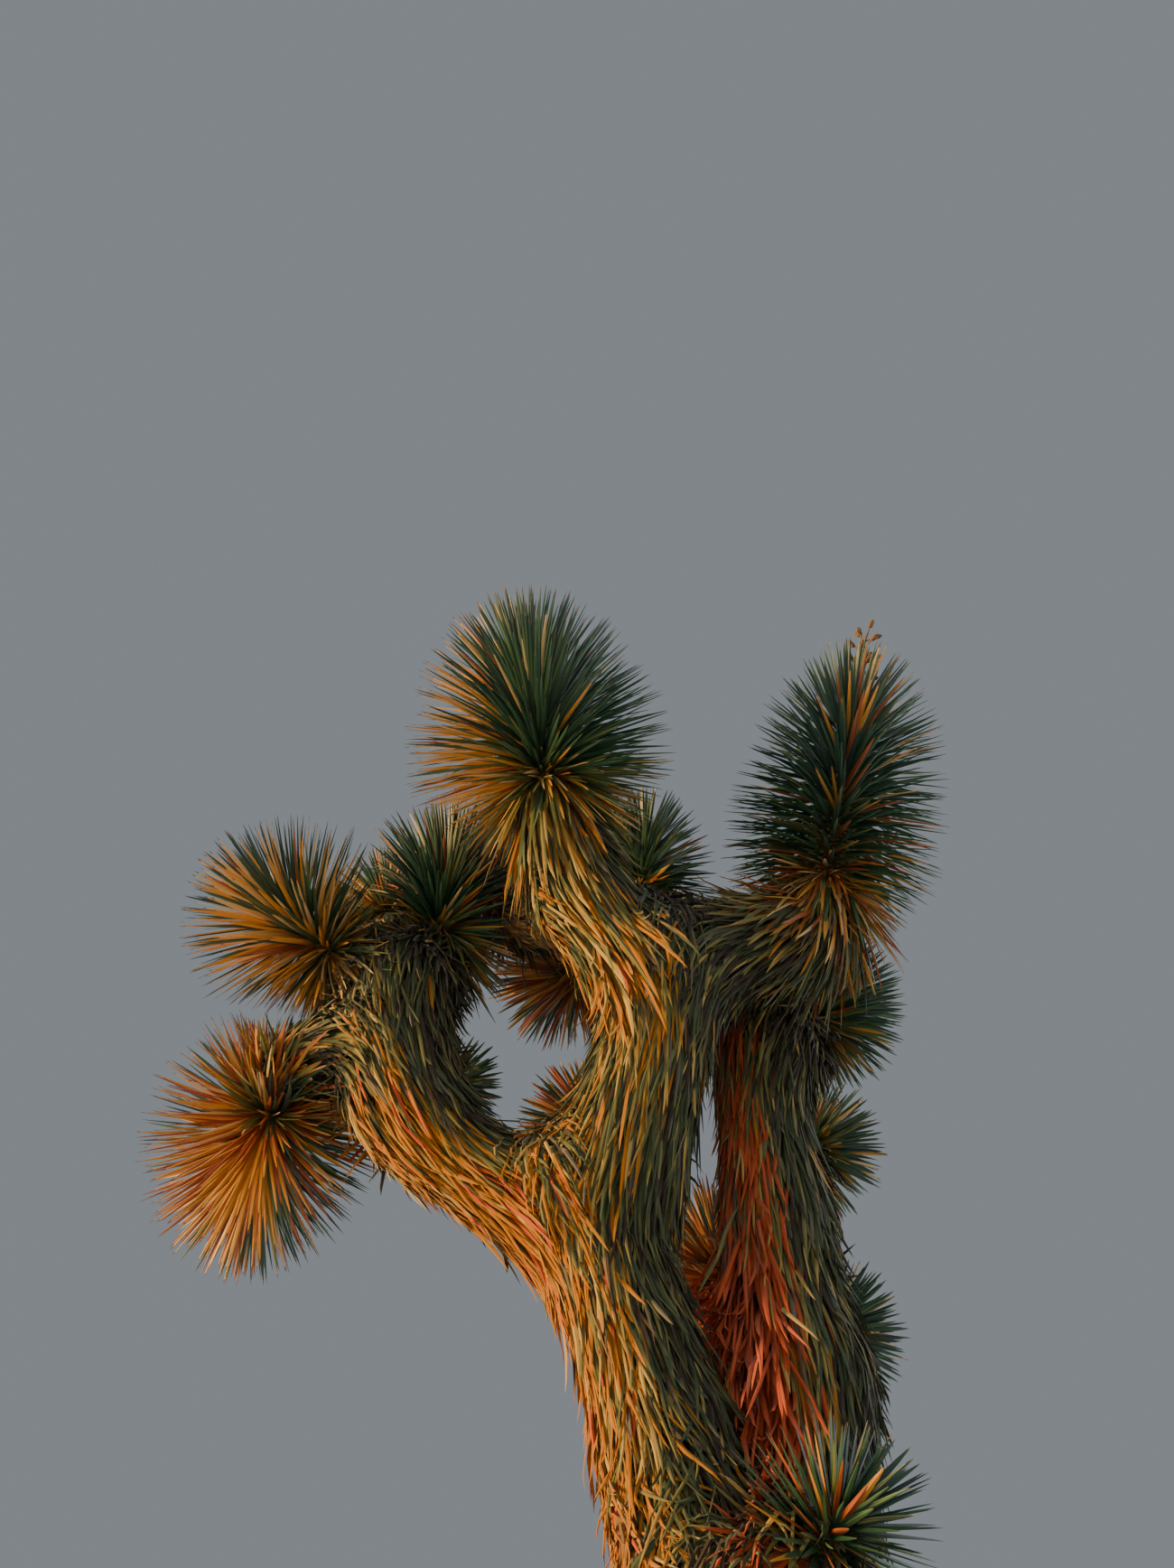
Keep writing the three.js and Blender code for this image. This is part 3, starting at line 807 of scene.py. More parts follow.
@dataclass
class Blades:
    """Many blades of one form that end up joined in one mesh, built from arrays.

    Each blade has a centre line with one place for each ring and one for its point. Its section is a
    triangle: a flat side, with a keel standing out from it.
    """

    form: BladeForm
    living: bool
    lines: list[Array] = field(default_factory=list)
    outs: list[Array] = field(default_factory=list)
    sizes: list[Array] = field(default_factory=list)
    tones: list[Array] = field(default_factory=list)

    def add(self, lines: Array, outs: Array, widths: Array, depths: Array, tones: Array) -> None:
        """Adds blades.

        Args:
            lines: centre lines, one place for each share of the form.
            outs: the way that the keel stands out, at each of those places.
            widths: widest part of each blade.
            depths: highest part of each keel.
            tones: number of each blade's tone in the palette.
        """
        self.lines.append(lines)
        self.outs.append(outs)
        self.sizes.append(np.stack([widths, depths], axis=-1))
        self.tones.append(tones)

    def pattern(self) -> tuple[Array, Array, Array]:
        """Faces of one blade.

        Returns:
            Corner numbers of all faces in a row, each face's number of corners, and its kind: 0 for the
            blade, 1 for its spine and 2 for its sheath.
        """
        rings = len(self.form.shares) - 1
        faces = [((0, 1, 2), 2 if self.form.sheath else 0)]
        for k in range(rings - 1):
            kind = 2 if self.form.sheath and k == 0 else 0
            a, b = 3 * k, 3 * k + 3
            for p, q in ((0, 1), (1, 2), (2, 0)):
                faces.append(((a + p, b + p, b + q, a + q), kind))
        last, point = 3 * (rings - 1), 3 * rings
        for p, q in ((0, 1), (1, 2), (2, 0)):
            faces.append(((last + p, point, last + q), 1 if self.form.spine else 0))
        corners = np.array([c for face, _ in faces for c in face])
        return corners, np.array([len(face) for face, _ in faces]), np.array([kind for _, kind in faces])

    def layout(self) -> tuple[Array, Array]:
        """Corners of all blades.

        Returns:
            Their places, and their UV places in metres across and along each blade, both blade by blade.
        """
        lines, outs = np.concatenate(self.lines), np.concatenate(self.outs)
        sizes = np.concatenate(self.sizes)
        count, rings = len(lines), len(self.form.shares) - 1
        ahead = unit(np.gradient(lines, axis=1))
        outs = unit(outs - ahead * dot(outs, ahead))
        sides = np.cross(ahead, outs)
        width = sizes[:, None, 0:1] * np.array(self.form.widths)[None, :, None]
        depth = sizes[:, None, 1:2] * np.array(self.form.depths)[None, :, None]
        centre, side = lines[:, :rings], sides[:, :rings] * width / 2
        ring = np.stack([centre - side, centre + side, centre + outs[:, :rings] * depth], axis=2)
        points = np.concatenate([ring.reshape(count, rings * 3, 3), lines[:, rings:]], axis=1)

        steps = np.linalg.norm(np.diff(lines, axis=1), axis=-1)
        along = np.cumsum(np.concatenate([np.zeros((count, 1)), steps], axis=1), axis=1)
        point = width[:, -1:] * 0.5 * np.ones((1, 1, 3))
        across = np.concatenate([width * np.array([0.0, 1.0, 0.5]), point], axis=1)
        uv = np.stack([across, np.repeat(along[:, :, None], 3, axis=2)], axis=-1).reshape(count, -1, 2)
        return points, uv[:, : rings * 3 + 1]

    def piece(self, name: str, palette: list[Tone]) -> bpy.types.Object:
        """Joins the blades into one object.

        Args:
            name: the object's name.
            palette: tones of the material slots; the last two are the spine's and the sheath's where the form
                has them.

        Returns:
            The object, with a material slot for each tone and the UV map that its skin reads.
        """
        points, uv = self.layout()
        tones = np.concatenate(self.tones)
        corners, totals, kinds = self.pattern()
        count, per_blade = points.shape[:2]
        blade = np.arange(count)[:, None]
        vertex = (corners[None, :] + per_blade * blade).ravel()
        starts = np.concatenate([[0], np.cumsum(totals)[:-1]])
        starts = (starts[None, :] + len(corners) * blade).ravel()
        slots = np.where(kinds[None, :] == 0, tones[:, None], len(palette) - 3 + kinds[None, :])

        mesh = bpy.data.meshes.new(name)
        mesh.vertices.add(count * per_blade)
        mesh.vertices.foreach_set("co", points.astype(np.float32).ravel())
        mesh.loops.add(len(vertex))
        mesh.loops.foreach_set("vertex_index", vertex.astype(np.int32))
        mesh.polygons.add(len(starts))
        mesh.polygons.foreach_set("loop_start", starts.astype(np.int32))
        mesh.polygons.foreach_set("material_index", slots.astype(np.int32).ravel())
        layer = mesh.uv_layers.new(name=LEAF_MAP)
        layer.data.foreach_set("uv", uv.reshape(-1, 2)[vertex].astype(np.float32).ravel())
        mesh.update(calc_edges=True)
        mesh.shade_flat()
        for tone in palette:
            mesh.materials.append(LeafSkin(tone, self.living).material())
        return add_object(name, mesh)


@dataclass
class Wood:
    """The wood of one or more limbs, with the relief of its bark.

    Args:
        side: size of a face of the mesh.
        furrow: distance between the furrows of the bark.
        furrow_depth: how deep they are.
        scale: distance between the rows of old leaf bases under the thatch.
        scale_depth: how far those stand out.
        grain: size of the finest grain.
        grain_depth: how far it stands out.
        least_sides: faces round the thinnest limb.
    """

    limbs: list[Limb]
    finish: Bark = Bark()
    side: float = 0.0125
    furrow: float = 0.042
    furrow_depth: float = 0.014
    scale: float = 0.030
    scale_depth: float = 0.006
    grain: float = 0.012
    grain_depth: float = 0.0015
    least_sides: int = 24

    FURROW_STRETCH = 0.28  # heights count this much in the noise, so that the furrows run up the stem
    FURROW_NARROW = 3.2
    CRACK_SPACING = 1.4  # distance between the cracks, as a share of the furrows'
    CRACK_NARROW = 7
    CRACK_DEPTH = 0.6  # depth of the cracks, as a share of the furrows'
    GRAIN_STRETCH = 0.5  # the same for the grain
    SCALES_ROUND = 13  # old leaf bases in a row
    SCALE_TWIST = 3.0  # rows by which they climb once round
    FLAT_FOOT = 0.004  # share of the trunk over which the relief begins, so that its cut is flat and round

    def hollows(self, limb: Limb, share: Array, angle: Array) -> tuple[Array, Array]:
        """The relief at places on a limb.

        Args:
            limb: the limb.
            share: shares of the way along it.
            angle: angles round it.

        Returns:
            Heights over the plain wood, and how hollow each place is, from 0 to 1.
        """
        base, _, _ = limb.surface(share, angle)
        cover = limb.cover(share)
        heights, hollows = np.zeros(len(share)), np.zeros(len(share))
        for i, (x, y, z) in enumerate(base):
            ridged = abs(noise.noise(Vector((x, y, z * self.FURROW_STRETCH)) / self.furrow))
            cracks = abs(noise.noise(Vector((x + 3.1, y, z)) / (self.furrow * self.CRACK_SPACING)))
            fine = noise.noise(Vector((x, y, z * self.GRAIN_STRETCH)) / self.grain)
            furrow = max(0.0, 1 - self.FURROW_NARROW * ridged) ** 1.5
            bark = max(furrow, self.CRACK_DEPTH * max(0.0, 1 - self.CRACK_NARROW * cracks))
            row = (share[i] * limb.length + angle[i] * self.scale * self.SCALE_TWIST / math.tau) / self.scale
            saw = row - math.floor(row)
            scales = 0.7 * saw + 0.3 * (0.5 + 0.5 * math.cos(angle[i] * self.SCALES_ROUND))
            hollows[i] = lerp(bark, scales, cover[i])
            relief = lerp(-self.furrow_depth * bark, -self.scale_depth * scales, cover[i])
            heights[i] = relief + self.grain_depth * fine
        return heights, hollows

    def one(self, bm: bmesh.types.BMesh, limb: Limb) -> None:
        """Adds one limb: a cylinder cut into rings, then laid along the limb and given its relief.

        Args:
            bm: the bmesh that gets it.
            limb: the limb.
        """
        sides = max(self.least_sides, round(math.tau * lerp(*limb.radius, 0.5) / self.side))
        arc = float(limb.wood(np.array(1.0))) * math.pi / 2 if limb.knuckle else 0.0
        verts = cylinder(bm, sides, round((limb.length + arc) / self.side))
        co = np.array([v.co for v in verts])
        share = (co[:, 2] + 0.5) * (limb.length + arc) / limb.length
        angle = np.arctan2(co[:, 1], co[:, 0])
        heights, hollows = self.hollows(limb, share, angle)
        if not limb.parent:
            heights *= smoothstep(share, 0, self.FLAT_FOOT)
        places, _, _ = limb.surface(share, angle, heights)
        hollow, cover = bm.verts.layers.float["hollow"], bm.verts.layers.float["cover"]
        covers = limb.cover(share)
        for v, place, depth, share_covered in zip(verts, places, hollows, covers):
            v.co = place
            v[hollow] = depth
            v[cover] = share_covered

    def build(self, name: str) -> bpy.types.Object:
        """Builds and dresses the wood of all its limbs as one piece.

        Args:
            name: name of the piece.

        Returns:
            The piece.
        """
        bm = barked_bmesh()
        for limb in self.limbs:
            self.one(bm, limb)
        bmesh.ops.remove_doubles(bm, verts=bm.verts, dist=1e-5)
        bmesh.ops.recalc_face_normals(bm, faces=bm.faces)
        return make_object(bm, name, self.finish.material(), smooth=True)


@dataclass
class Thatch:
    """The coat of dead leaves on one limb.

    Each leaf is rooted on the wood and hangs back down along it, over the roots of those below. It lies on
    all the limbs near it as on one body, so the coats of two limbs flow into each other at a fork.
    """

    limb: Limb
    skeleton: Skeleton
    rng: np.random.Generator
    coat: Coat

    # Tones from the dullest to the most golden, the last one painted red light, and the values between them;
    # a coat's own value for that painted red light is the last one.
    TONES = [Tone.UMBER, Tone.MOSS, Tone.ASH, Tone.KHAKI, Tone.DRY_STRAW, Tone.TAN, Tone.DRY_GOLD, Tone.RUST]
    STEPS = (0.15, 0.38, 0.43, 0.60, 0.71, 0.75)
    DULL = 0.25  # value of a leaf on the shaded side
    SPREAD = 0.22  # how far patches, and the leaves in them, differ from it
    PATCH = 0.16  # sizes of patches of one tone and of the spots in them
    SPOT = 0.05
    LOOSE_PATCH = 0.11  # size of a patch of tangled leaves
    STRAY = (0.010, 0.20)  # how far the roots stray from their spiral, in metres along and radians round
    ROOT_DEPTH = 0.002
    LONGEST = 0.75  # no leaf is longer than this share of its limb
    BROKEN = 0.25  # share of the leaves that have broken off
    BROKEN_LENGTH = 0.6
    LOOSE = (0.28, 0.40)  # share of old leaves that stand off, and of fresh ones besides
    LOOSE_STAND = (0.006, 0.030)  # how far off the coat their tips stand
    CLOSE_STAND = (0.0, 0.005)  # the same for the others
    STIFF = 0.6  # share of the freshest leaves that stick out stiffly
    STIFF_TILT = (0.10, 0.65)  # how far they tilt outward at the root
    TILT = 0.10  # the same for the other leaves
    TURN = 0.50  # how far the keels turn away from straight out, in radians
    KEEL_SHARES = (0.14, 0.34)
    TANGLE = 0.8  # how tangled the loosest patches are
    TANGLE_ENDS = (2.25, 2.85)  # heights between which the tangle of the oldest leaves dies out
    TANGLE_SWAY = math.radians(38)
    SINK = 0.8  # how far a leaf in the air sinks towards the coat at each joint
    PULL = (0.0, 0.0, -0.05)  # its weight

    def roots(self) -> tuple[Array, Array]:
        """Roots the leaves in one even spiral.

        Returns:
            Shares of the way along the limb and angles round it.
        """
        limb = self.limb
        end = 1.0
        if limb.knuckle:
            end += self.coat.dome * float(limb.wood(np.array(1.0))) / limb.length
        grid = np.linspace(0, end, 400)
        crowd = limb.outer(grid) * limb.cover(grid) * (1 + 0.5 * self.fresh(grid))
        area = np.cumsum(crowd) * math.tau * limb.length * grid[1]
        count = int(area[-1] * self.coat.crowding)
        wanted = (np.arange(count) + 0.5) / count * area[-1]
        share = np.interp(wanted, area, grid) + self.rng.normal(0, self.STRAY[0], count) / limb.length
        angle = np.arange(count) * GOLDEN_TURN + self.rng.normal(0, self.STRAY[1], count)
        return np.clip(share, 0, end), angle

    def fresh(self, share: Array, outward: Array | None = None) -> Array:
        """How fresh leaves are: freshest below a head, and on the side of the beard that faces the light.

        Args:
            share: shares of the way along at which they are rooted.
            outward: directions outward there, without which the beard doesn't count.

        Returns:
            0 for the oldest to 1 for the freshest.
        """
        fresh = np.zeros_like(share)
        if not self.limb.knuckle:
            fresh = 1 - smoothstep((1 - share) * self.limb.length, 0.2 * self.coat.broom, self.coat.broom)
        if self.coat.beard and outward is not None:
            low, high = self.coat.beard
            facing = smoothstep(self.coat.facing(outward), 0.35, 0.75)
            tuft = smoothstep(share, low - 0.05, low) * (1 - smoothstep(share, high, high + 0.08)) * facing
            fresh = np.maximum(fresh, tuft)
        return fresh

    def tangle(self, share: Array, roots: Array) -> Array:
        """How tangled leaves are, low on the trunk, in patches where the oldest have come loose.

        Args:
            share: shares of the way along at which they are rooted.
            roots: the places of their roots.

        Returns:
            0 for combed to 1 for wholly tangled.
        """
        if self.limb.parent:
            return np.zeros(len(share))
        patch = np.array([noise.noise(Vector((x, y, z * 0.6)) / self.LOOSE_PATCH) for x, y, z in roots])
        low = 1 - smoothstep(share * self.limb.length, *self.TANGLE_ENDS)
        return self.TANGLE * low * smoothstep(patch, -0.35, 0.15)

    def tone_numbers(self, roots: Array, outward: Array, fresh: Array) -> Array:
        """Deals out the tones in patches: golden, as painted warm light, on the side facing the light, and
        dull olive, as painted shade, on the other.

        Args:
            roots: the places of the leaves' roots.
            outward: directions outward there.
            fresh: how fresh each leaf is.

        Returns:
            The number of each leaf's tone.
        """
        coat = self.coat
        wide = np.array([noise.noise(Vector(p) / self.PATCH) for p in roots])
        patch = wide + 0.7 * np.array([noise.noise(Vector(p) / self.SPOT) for p in roots])
        value = self.DULL + coat.fade + self.SPREAD * patch + self.rng.normal(0, self.SPREAD, len(roots))
        # Leaves that face the warm light are made more golden: painted light.
        value = value + coat.glow * fresh + coat.painted_light_gold * smoothstep(coat.facing(outward), -0.05, 0.55)
        return np.searchsorted((*self.STEPS, max(coat.painted_red_light, self.STEPS[-1])), value)

    def lay(self, blades: Blades) -> int:
        """Adds the coat's leaves.

        Args:
            blades: the blades that get them.

        Returns:
            How many were laid.
        """
        limb, rng = self.limb, self.rng
        limbs = [limb, *self.skeleton.near(limb)]
        share, angle = self.roots()
        root, _, _ = limb.surface(share, angle)
        gap, outward, down = self.skeleton.body(limbs, root)
        # Leaves thin out towards the bare bark, and none is rooted deep inside a fork.
        keep = (rng.random(len(share)) < np.clip(limb.cover(share) * 1.3, 0, 1)) & (gap > -1.3 * FILLET)
        share, root, outward, down = (a[keep] for a in (share, root, outward, down))
        root = root - outward * (gap[keep] + self.ROOT_DEPTH)[:, None]
        count = len(share)
        fresh, tangle = self.fresh(share, outward), self.tangle(share, root)

        # Sizes, and how far each leaf stands off the wood.
        length = rng.uniform(*self.coat.lengths, count) * (1 + 0.15 * fresh)
        length = np.minimum(length * (1 - 0.5 * tangle * rng.random(count)), self.LONGEST * limb.length)
        length = length * np.where(rng.random(count) < self.BROKEN, self.BROKEN_LENGTH, 1.0)
        width = rng.uniform(*self.coat.widths, count) * (1 + 0.15 * fresh)
        width = width * (1 - 0.55 * tangle * rng.random(count))
        sway = rng.normal(0, 1, count) * (math.radians(self.coat.sway) + self.TANGLE_SWAY * tangle)
        loose = rng.random(count) < self.LOOSE[0] + self.LOOSE[1] * fresh
        stand = np.where(loose, rng.uniform(*self.LOOSE_STAND, count), rng.uniform(*self.CLOSE_STAND, count))
        stand = stand * (1 + 1.2 * fresh)
        depth = limb.thatch(share) * rng.uniform(0.30, 0.95, count)

        # Its first heading, and how it keeps it.
        heading = unit(down * np.cos(sway)[:, None] + np.cross(outward, down) * np.sin(sway)[:, None])
        stiff = rng.random(count) < self.STIFF * fresh
        tilt = np.where(stiff, rng.uniform(*self.STIFF_TILT, count), self.TILT)
        heading = unit(heading + outward * tilt[:, None])
        turn = rng.normal(0, self.TURN, count)
        bend = (np.sin(sway * 0.5) + rng.normal(0, 1, count) * (0.05 + 1.3 * tangle))[:, None]
        hold = np.where(stiff, 0.95, 0.68 + 0.27 * tangle)[:, None]
        sink = np.where(stiff, 0.05, self.SINK)

        line, outs = [root], [outward]
        for before, here in zip(blades.form.shares, blades.form.shares[1:]):
            step = (length * (here - before))[:, None]
            place = line[-1] + heading * step
            gap, outward, down = self.skeleton.body(limbs, place)
            move = depth * here**0.6 + stand * here**1.6 - gap
            # A leaf in the air sinks towards the coat, and one inside the wood is lifted out of it.
            place = place + outward * np.where(move < 0, sink * move, move)[:, None]
            heading = unit(place - line[-1])
            line.append(line[-1] + heading * step)
            outs.append(outward)
            aside = np.cross(outward, down) * bend * 0.5
            heading = unit(hold * heading + (1 - hold) * down + aside + np.array(self.PULL))
        line, outs = np.stack(line, axis=1), np.stack(outs, axis=1)
        line[..., 2] = np.maximum(line[..., 2], GROUND_ROOM)
        tones = self.tone_numbers(root, outs[:, 0], fresh)
        side = np.cross(unit(np.gradient(line, axis=1)), outs)
        outs = outs * np.cos(turn)[:, None, None] + side * np.sin(turn)[:, None, None]
        blades.add(line, outs, width, width * rng.uniform(*self.KEEL_SHARES, count), tones)
        return count


@dataclass
class Head:
    """One head of stiff leaves on the tip of a bough.

    Args:
        green: length of stem that carries living leaves.
        reach: how far their tips stand out from it.
        dryness: share of its leaves that have gone golden.
        light_from: direction of the side on which more of them are painted golden, as painted warm light.
        russet: share of the golden ones that are russet.
        flower: True where it carries the flower stalk.
        painted_light_leaves: share of the leaves on the side facing the light that are painted golden
            besides, as painted light.
        skirt: length of bough below the head that still carries standing dead leaves.
        faded: share of the dead leaves that are still a dull olive.
    """

    name: str
    bough: str
    green: float
    reach: float
    dryness: float = 0.10
    light_from: tuple[float, float, float] = (0.0, 0.0, -1.0)
    russet: float = 0.15
    flower: bool = False
    painted_light_leaves: float = 0.0
    skirt: float = 0.035
    faded: float = 0.5
    axis: Array = field(init=False, repr=False)
    base: Array = field(init=False, repr=False)
    seat: float = field(init=False, repr=False)
    limb: Limb = field(init=False, repr=False)

    LEAVES_PER_AREA = 540.0
    DEAD_SHARE = 0.46
    SKIRT_CROWDING = 3200.0  # standing dead leaves for each square metre of bough
    DEAD_ANGLES = (99, 144)  # of dead leaves in the head, from its axis, in degrees
    SKIRT_ANGLES = (118, 162)  # of those on the bough below it
    WIDTHS = (0.0092, 0.0138)
    KEEL_SHARE = 0.34
    TOP_RADIUS = 0.018
    SLIM = 0.72  # width of the stem inside the leaves, as a share of the bough's
    SEAT_GAP = 0.0003  # between a bough and its head, as between the solids
    STEM_SIDES = 18
    STEM_RINGS = 14
    STEM_OVER = 0.02  # how far the stem goes on above its leaves
    ROOT_DEPTH = 0.003
    CLEAR_STEP = 0.07  # shares of its length in which a leaf is tried for room
    ROUND = np.array([0.31, 0.87, -0.38])  # turns round the axis are counted from this side
    TONES = [Tone.DEEP, Tone.GREEN, Tone.SAGE, Tone.OLIVE, Tone.GOLD, Tone.STRAW, Tone.RUSSET]
    LIFE_STEPS = (0.42, 0.74, 0.95)  # values between the four living tones

    def stand(self, limb: Limb) -> None:
        """Sets the head on the tip of its bough.

        Args:
            limb: the bough.
        """
        self.axis = direction(*limb.tip)
        self.base = limb.line[-1] + self.axis * self.SEAT_GAP
        self.seat = float(limb.wood(np.array(1.0)))
        self.limb = limb

    def depth(self, points: Array) -> Array:
        """How deep points lie in the head's own space.

        Args:
            points: places anywhere.

        Returns:
            0 at its stem, 1 at the tips of its leaves, and more beyond them.
        """
        step = self.axis * self.green
        t = np.clip(np.sum((points - self.base) * step, axis=-1) / (step @ step), 0, 1)
        return np.linalg.norm(points - self.base - t[..., None] * step, axis=-1) / self.reach

    def stem_radius(self, rise: Array) -> Array:
        """Radius of the stem inside the leaves, at a rise from its seat."""
        return lerp(self.seat * self.SLIM, self.TOP_RADIUS, smoothstep(rise / self.green, 0.0, 0.7))

    def free_share(
        self, skeleton: Skeleton, heads: list["Head"], root: Array, ahead: Array, length: Array
    ) -> Array:
        """How far each leaf keeps clear of every limb and stays out of the other heads.

        Args:
            skeleton: the limbs.
            heads: all heads, with this one.
            root: where the leaves are rooted.
            ahead: the directions in which they point.
            length: their lengths.

        Returns:
            The share of each leaf's length that is free.
        """
        shares = np.arange(0.3, 1.001, self.CLEAR_STEP)
        points = root[:, None] + ahead[:, None] * (length[:, None] * shares)[..., None]
        edge = 0.006 * np.minimum(1, (1 - shares) / 0.6)
        ok = skeleton.outside(points, LIMB_ROOM + edge, self.limb)
        own = self.depth(points)
        for other in heads:
            if other is not self:
                ok &= other.depth(points) >= own + HEAD_ROOM
        blocked = ~(ok & (points[..., 2] > 0.005))
        return np.where(blocked.any(axis=1), shares[np.argmax(blocked, axis=1)] - self.CLEAR_STEP, 1.0)

    def tone_numbers(self, rng: np.random.Generator, age: Array, radial: Array) -> Array:
        """Deals out the living tones: young leaves deep green, old ones gone golden, and more golden, as
        painted light, on the side facing the warm light.

        Args:
            rng: source of the random numbers.
            age: 0 for the oldest leaf to 1 for the youngest.
            radial: the direction from the axis in which each stands.

        Returns:
            The number of each leaf's tone.
        """
        count = len(age)
        # Leaves facing the warm light go golden more often: painted light.
        side = radial @ unit(np.array(self.light_from))
        dry = self.dryness * (1.2 - 0.5 * age + 0.5 * side) + 0.10 * (1 - age) ** 4
        gone = rng.random(count) < dry + self.painted_light_leaves * smoothstep(side, 0.25, 0.80)
        life = np.searchsorted(self.LIFE_STEPS, rng.normal(0.52 - 0.25 * (age - 0.5), 0.22, count))
        dead = np.searchsorted([0.50, 1 - self.russet], rng.random(count)) + 4
        return np.where(gone, dead, life)

    def living(self, rng: np.random.Generator) -> tuple[Array, Array, Array, Array, Array]:
        """The living leaves, in a steady spiral from the wide low ones to the upright young ones.

        Args:
            rng: source of the random numbers.

        Returns:
            Their ages from 0 for the oldest to 1, angles from the axis, rises, lengths and turns round it.
        """
        count = round(math.tau * self.reach * (1.3 * self.reach + 0.76 * self.green) * self.LEAVES_PER_AREA)
        order = np.arange(count)
        age = (order + 0.5) / count
        late = 1 + LONG_STEM * max(0.0, self.green / self.reach - 0.75)
        spread = lerp(math.cos(WIDEST_ANGLE), math.cos(TIP_ANGLE), age**late)
        angle = np.arccos(spread) + rng.normal(0, 0.05, count)
        rise = self.green * (0.06 + 0.86 * age)
        length = self.reach * (1 - (1 - YOUNG_LENGTH) * age**2) * (1 - 0.16 * rng.random(count) ** 2)
        length = length * lerp(0.84, 1.0, smoothstep(age, 0.0, 0.22))
        return age, angle, rise, length, order * GOLDEN_TURN + rng.normal(0, 0.06, count)

    def dead(self, rng: np.random.Generator) -> tuple[Array, Array, Array, Array]:
        """The dead leaves folded back under them, and those that still stand on the bough below.

        Args:
            rng: source of the random numbers.

        Returns:
            Their angles from the axis, rises, lengths and turns round it.
        """
        under = round(math.tau * self.reach**2 * 1.6 * self.LEAVES_PER_AREA * self.DEAD_SHARE)
        below = round(math.tau * self.seat * self.skirt * self.SKIRT_CROWDING)
        angle = np.append(rng.uniform(*self.DEAD_ANGLES, under), rng.uniform(*self.SKIRT_ANGLES, below))
        angle = np.radians(angle)
        rise = np.append(rng.uniform(0, 0.08 * self.green, under), rng.uniform(-self.skirt, 0, below))
        length = self.reach * rng.uniform(0.55, 0.80, len(rise)) * (1 + 0.25 * smoothstep(angle, 1.9, 2.5))
        return angle, rise, length, np.arange(len(rise)) * GOLDEN_TURN * 1.5 + rng.normal(0, 0.3, len(rise))

    def grow(self, skeleton: Skeleton, heads: list["Head"], rng: np.random.Generator, blades: Blades) -> int:
        """Adds the head's leaves.

        Args:
            skeleton: the limbs.
            heads: all heads, with this one.
            rng: source of the random numbers.
            blades: the blades that get them.

        Returns:
            How many grew.
        """
        age, *living = self.living(rng)
        angle, rise, length, turn = (np.append(a, b) for a, b in zip(living, self.dead(rng)))
        count = len(angle)
        is_dead = np.arange(count) >= len(age)

        across = unit(self.ROUND - self.axis * (self.ROUND @ self.axis))
        sideways = np.cross(self.axis, across)
        radial = across * np.cos(turn)[:, None] + sideways * np.sin(turn)[:, None]
        forward = np.repeat(self.axis[None], count, axis=0)
        offset = (self.stem_radius(rise) - self.ROOT_DEPTH) * np.where(is_dead, 1.0, np.sin(angle))
        root = self.base + self.axis * rise[:, None] + radial * offset[:, None]
        low = rise < 0
        place, outward, down = self.limb.surface(1 + rise[low] / self.limb.length, turn[low])
        root[low], radial[low], forward[low] = place, outward, -down
        ahead = forward * np.cos(angle)[:, None] + radial * np.sin(angle)[:, None]
        keel = radial * np.cos(angle)[:, None] - forward * np.sin(angle)[:, None]
        length = length - offset
        free = self.free_share(skeleton, heads, root, ahead, length)
        kept = free >= SHORTEST_LEAF

        tones = self.tone_numbers(rng, np.append(age, np.zeros(count - len(age))), radial)
        bright = 1 - self.faded
        gold = bright * (1 - self.russet)
        shares = [0.3 * self.faded, 0.7 * self.faded, 0.55 * gold, 0.45 * gold, bright * self.russet]
        tones = np.where(is_dead, rng.choice([2, 3, 4, 5, 6], count, p=shares), tones)
        width = rng.uniform(*self.WIDTHS, count) * np.where(is_dead, 0.85, 1.0)
        droop = np.where(is_dead, rng.uniform(0.02, 0.14, count), rng.normal(0.012, 0.012, count))
        wander = rng.normal(0, np.where(is_dead, 0.05, 0.012))
        t = np.array(blades.form.shares)[None, :, None]
        size = (length * free)[:, None, None]
        side = np.cross(ahead, keel)
        line = root[:, None] + ahead[:, None] * t * size
        line = line + (keel * droop[:, None] + side * wander[:, None])[:, None] * t**2 * size
        outs = np.repeat(keel[:, None], len(blades.form.shares), axis=1)
        roll = rng.normal(0, np.where(is_dead, 0.5, 0.12))[:, None, None]
        outs = outs * np.cos(roll) + side[:, None] * np.sin(roll)
        blades.add(line[kept], outs[kept], width[kept], width[kept] * self.KEEL_SHARE, tones[kept])
        return int(kept.sum())

    def stem(self, bm: bmesh.types.BMesh) -> None:
        """Adds the stem inside the leaves: a tapering cylinder set on the bough.

        Args:
            bm: the bmesh that gets it.
        """
        turned = Vector(self.axis).to_track_quat("Z", "Y")
        for v in cylinder(bm, self.STEM_SIDES, self.STEM_RINGS):
            rise = (v.co.z + 0.5) * (self.green + self.STEM_OVER)
            angle = math.atan2(v.co.y, v.co.x)
            radius = float(self.stem_radius(np.array(rise))) * (1 + 0.08 * math.cos(5 * angle + 60 * rise))
            if v.co.z > 0.49:
                radius *= 0.4  # its top ring is drawn in
            v.co = Vector(self.base) + turned @ Vector((v.co.x * radius, v.co.y * radius, rise))


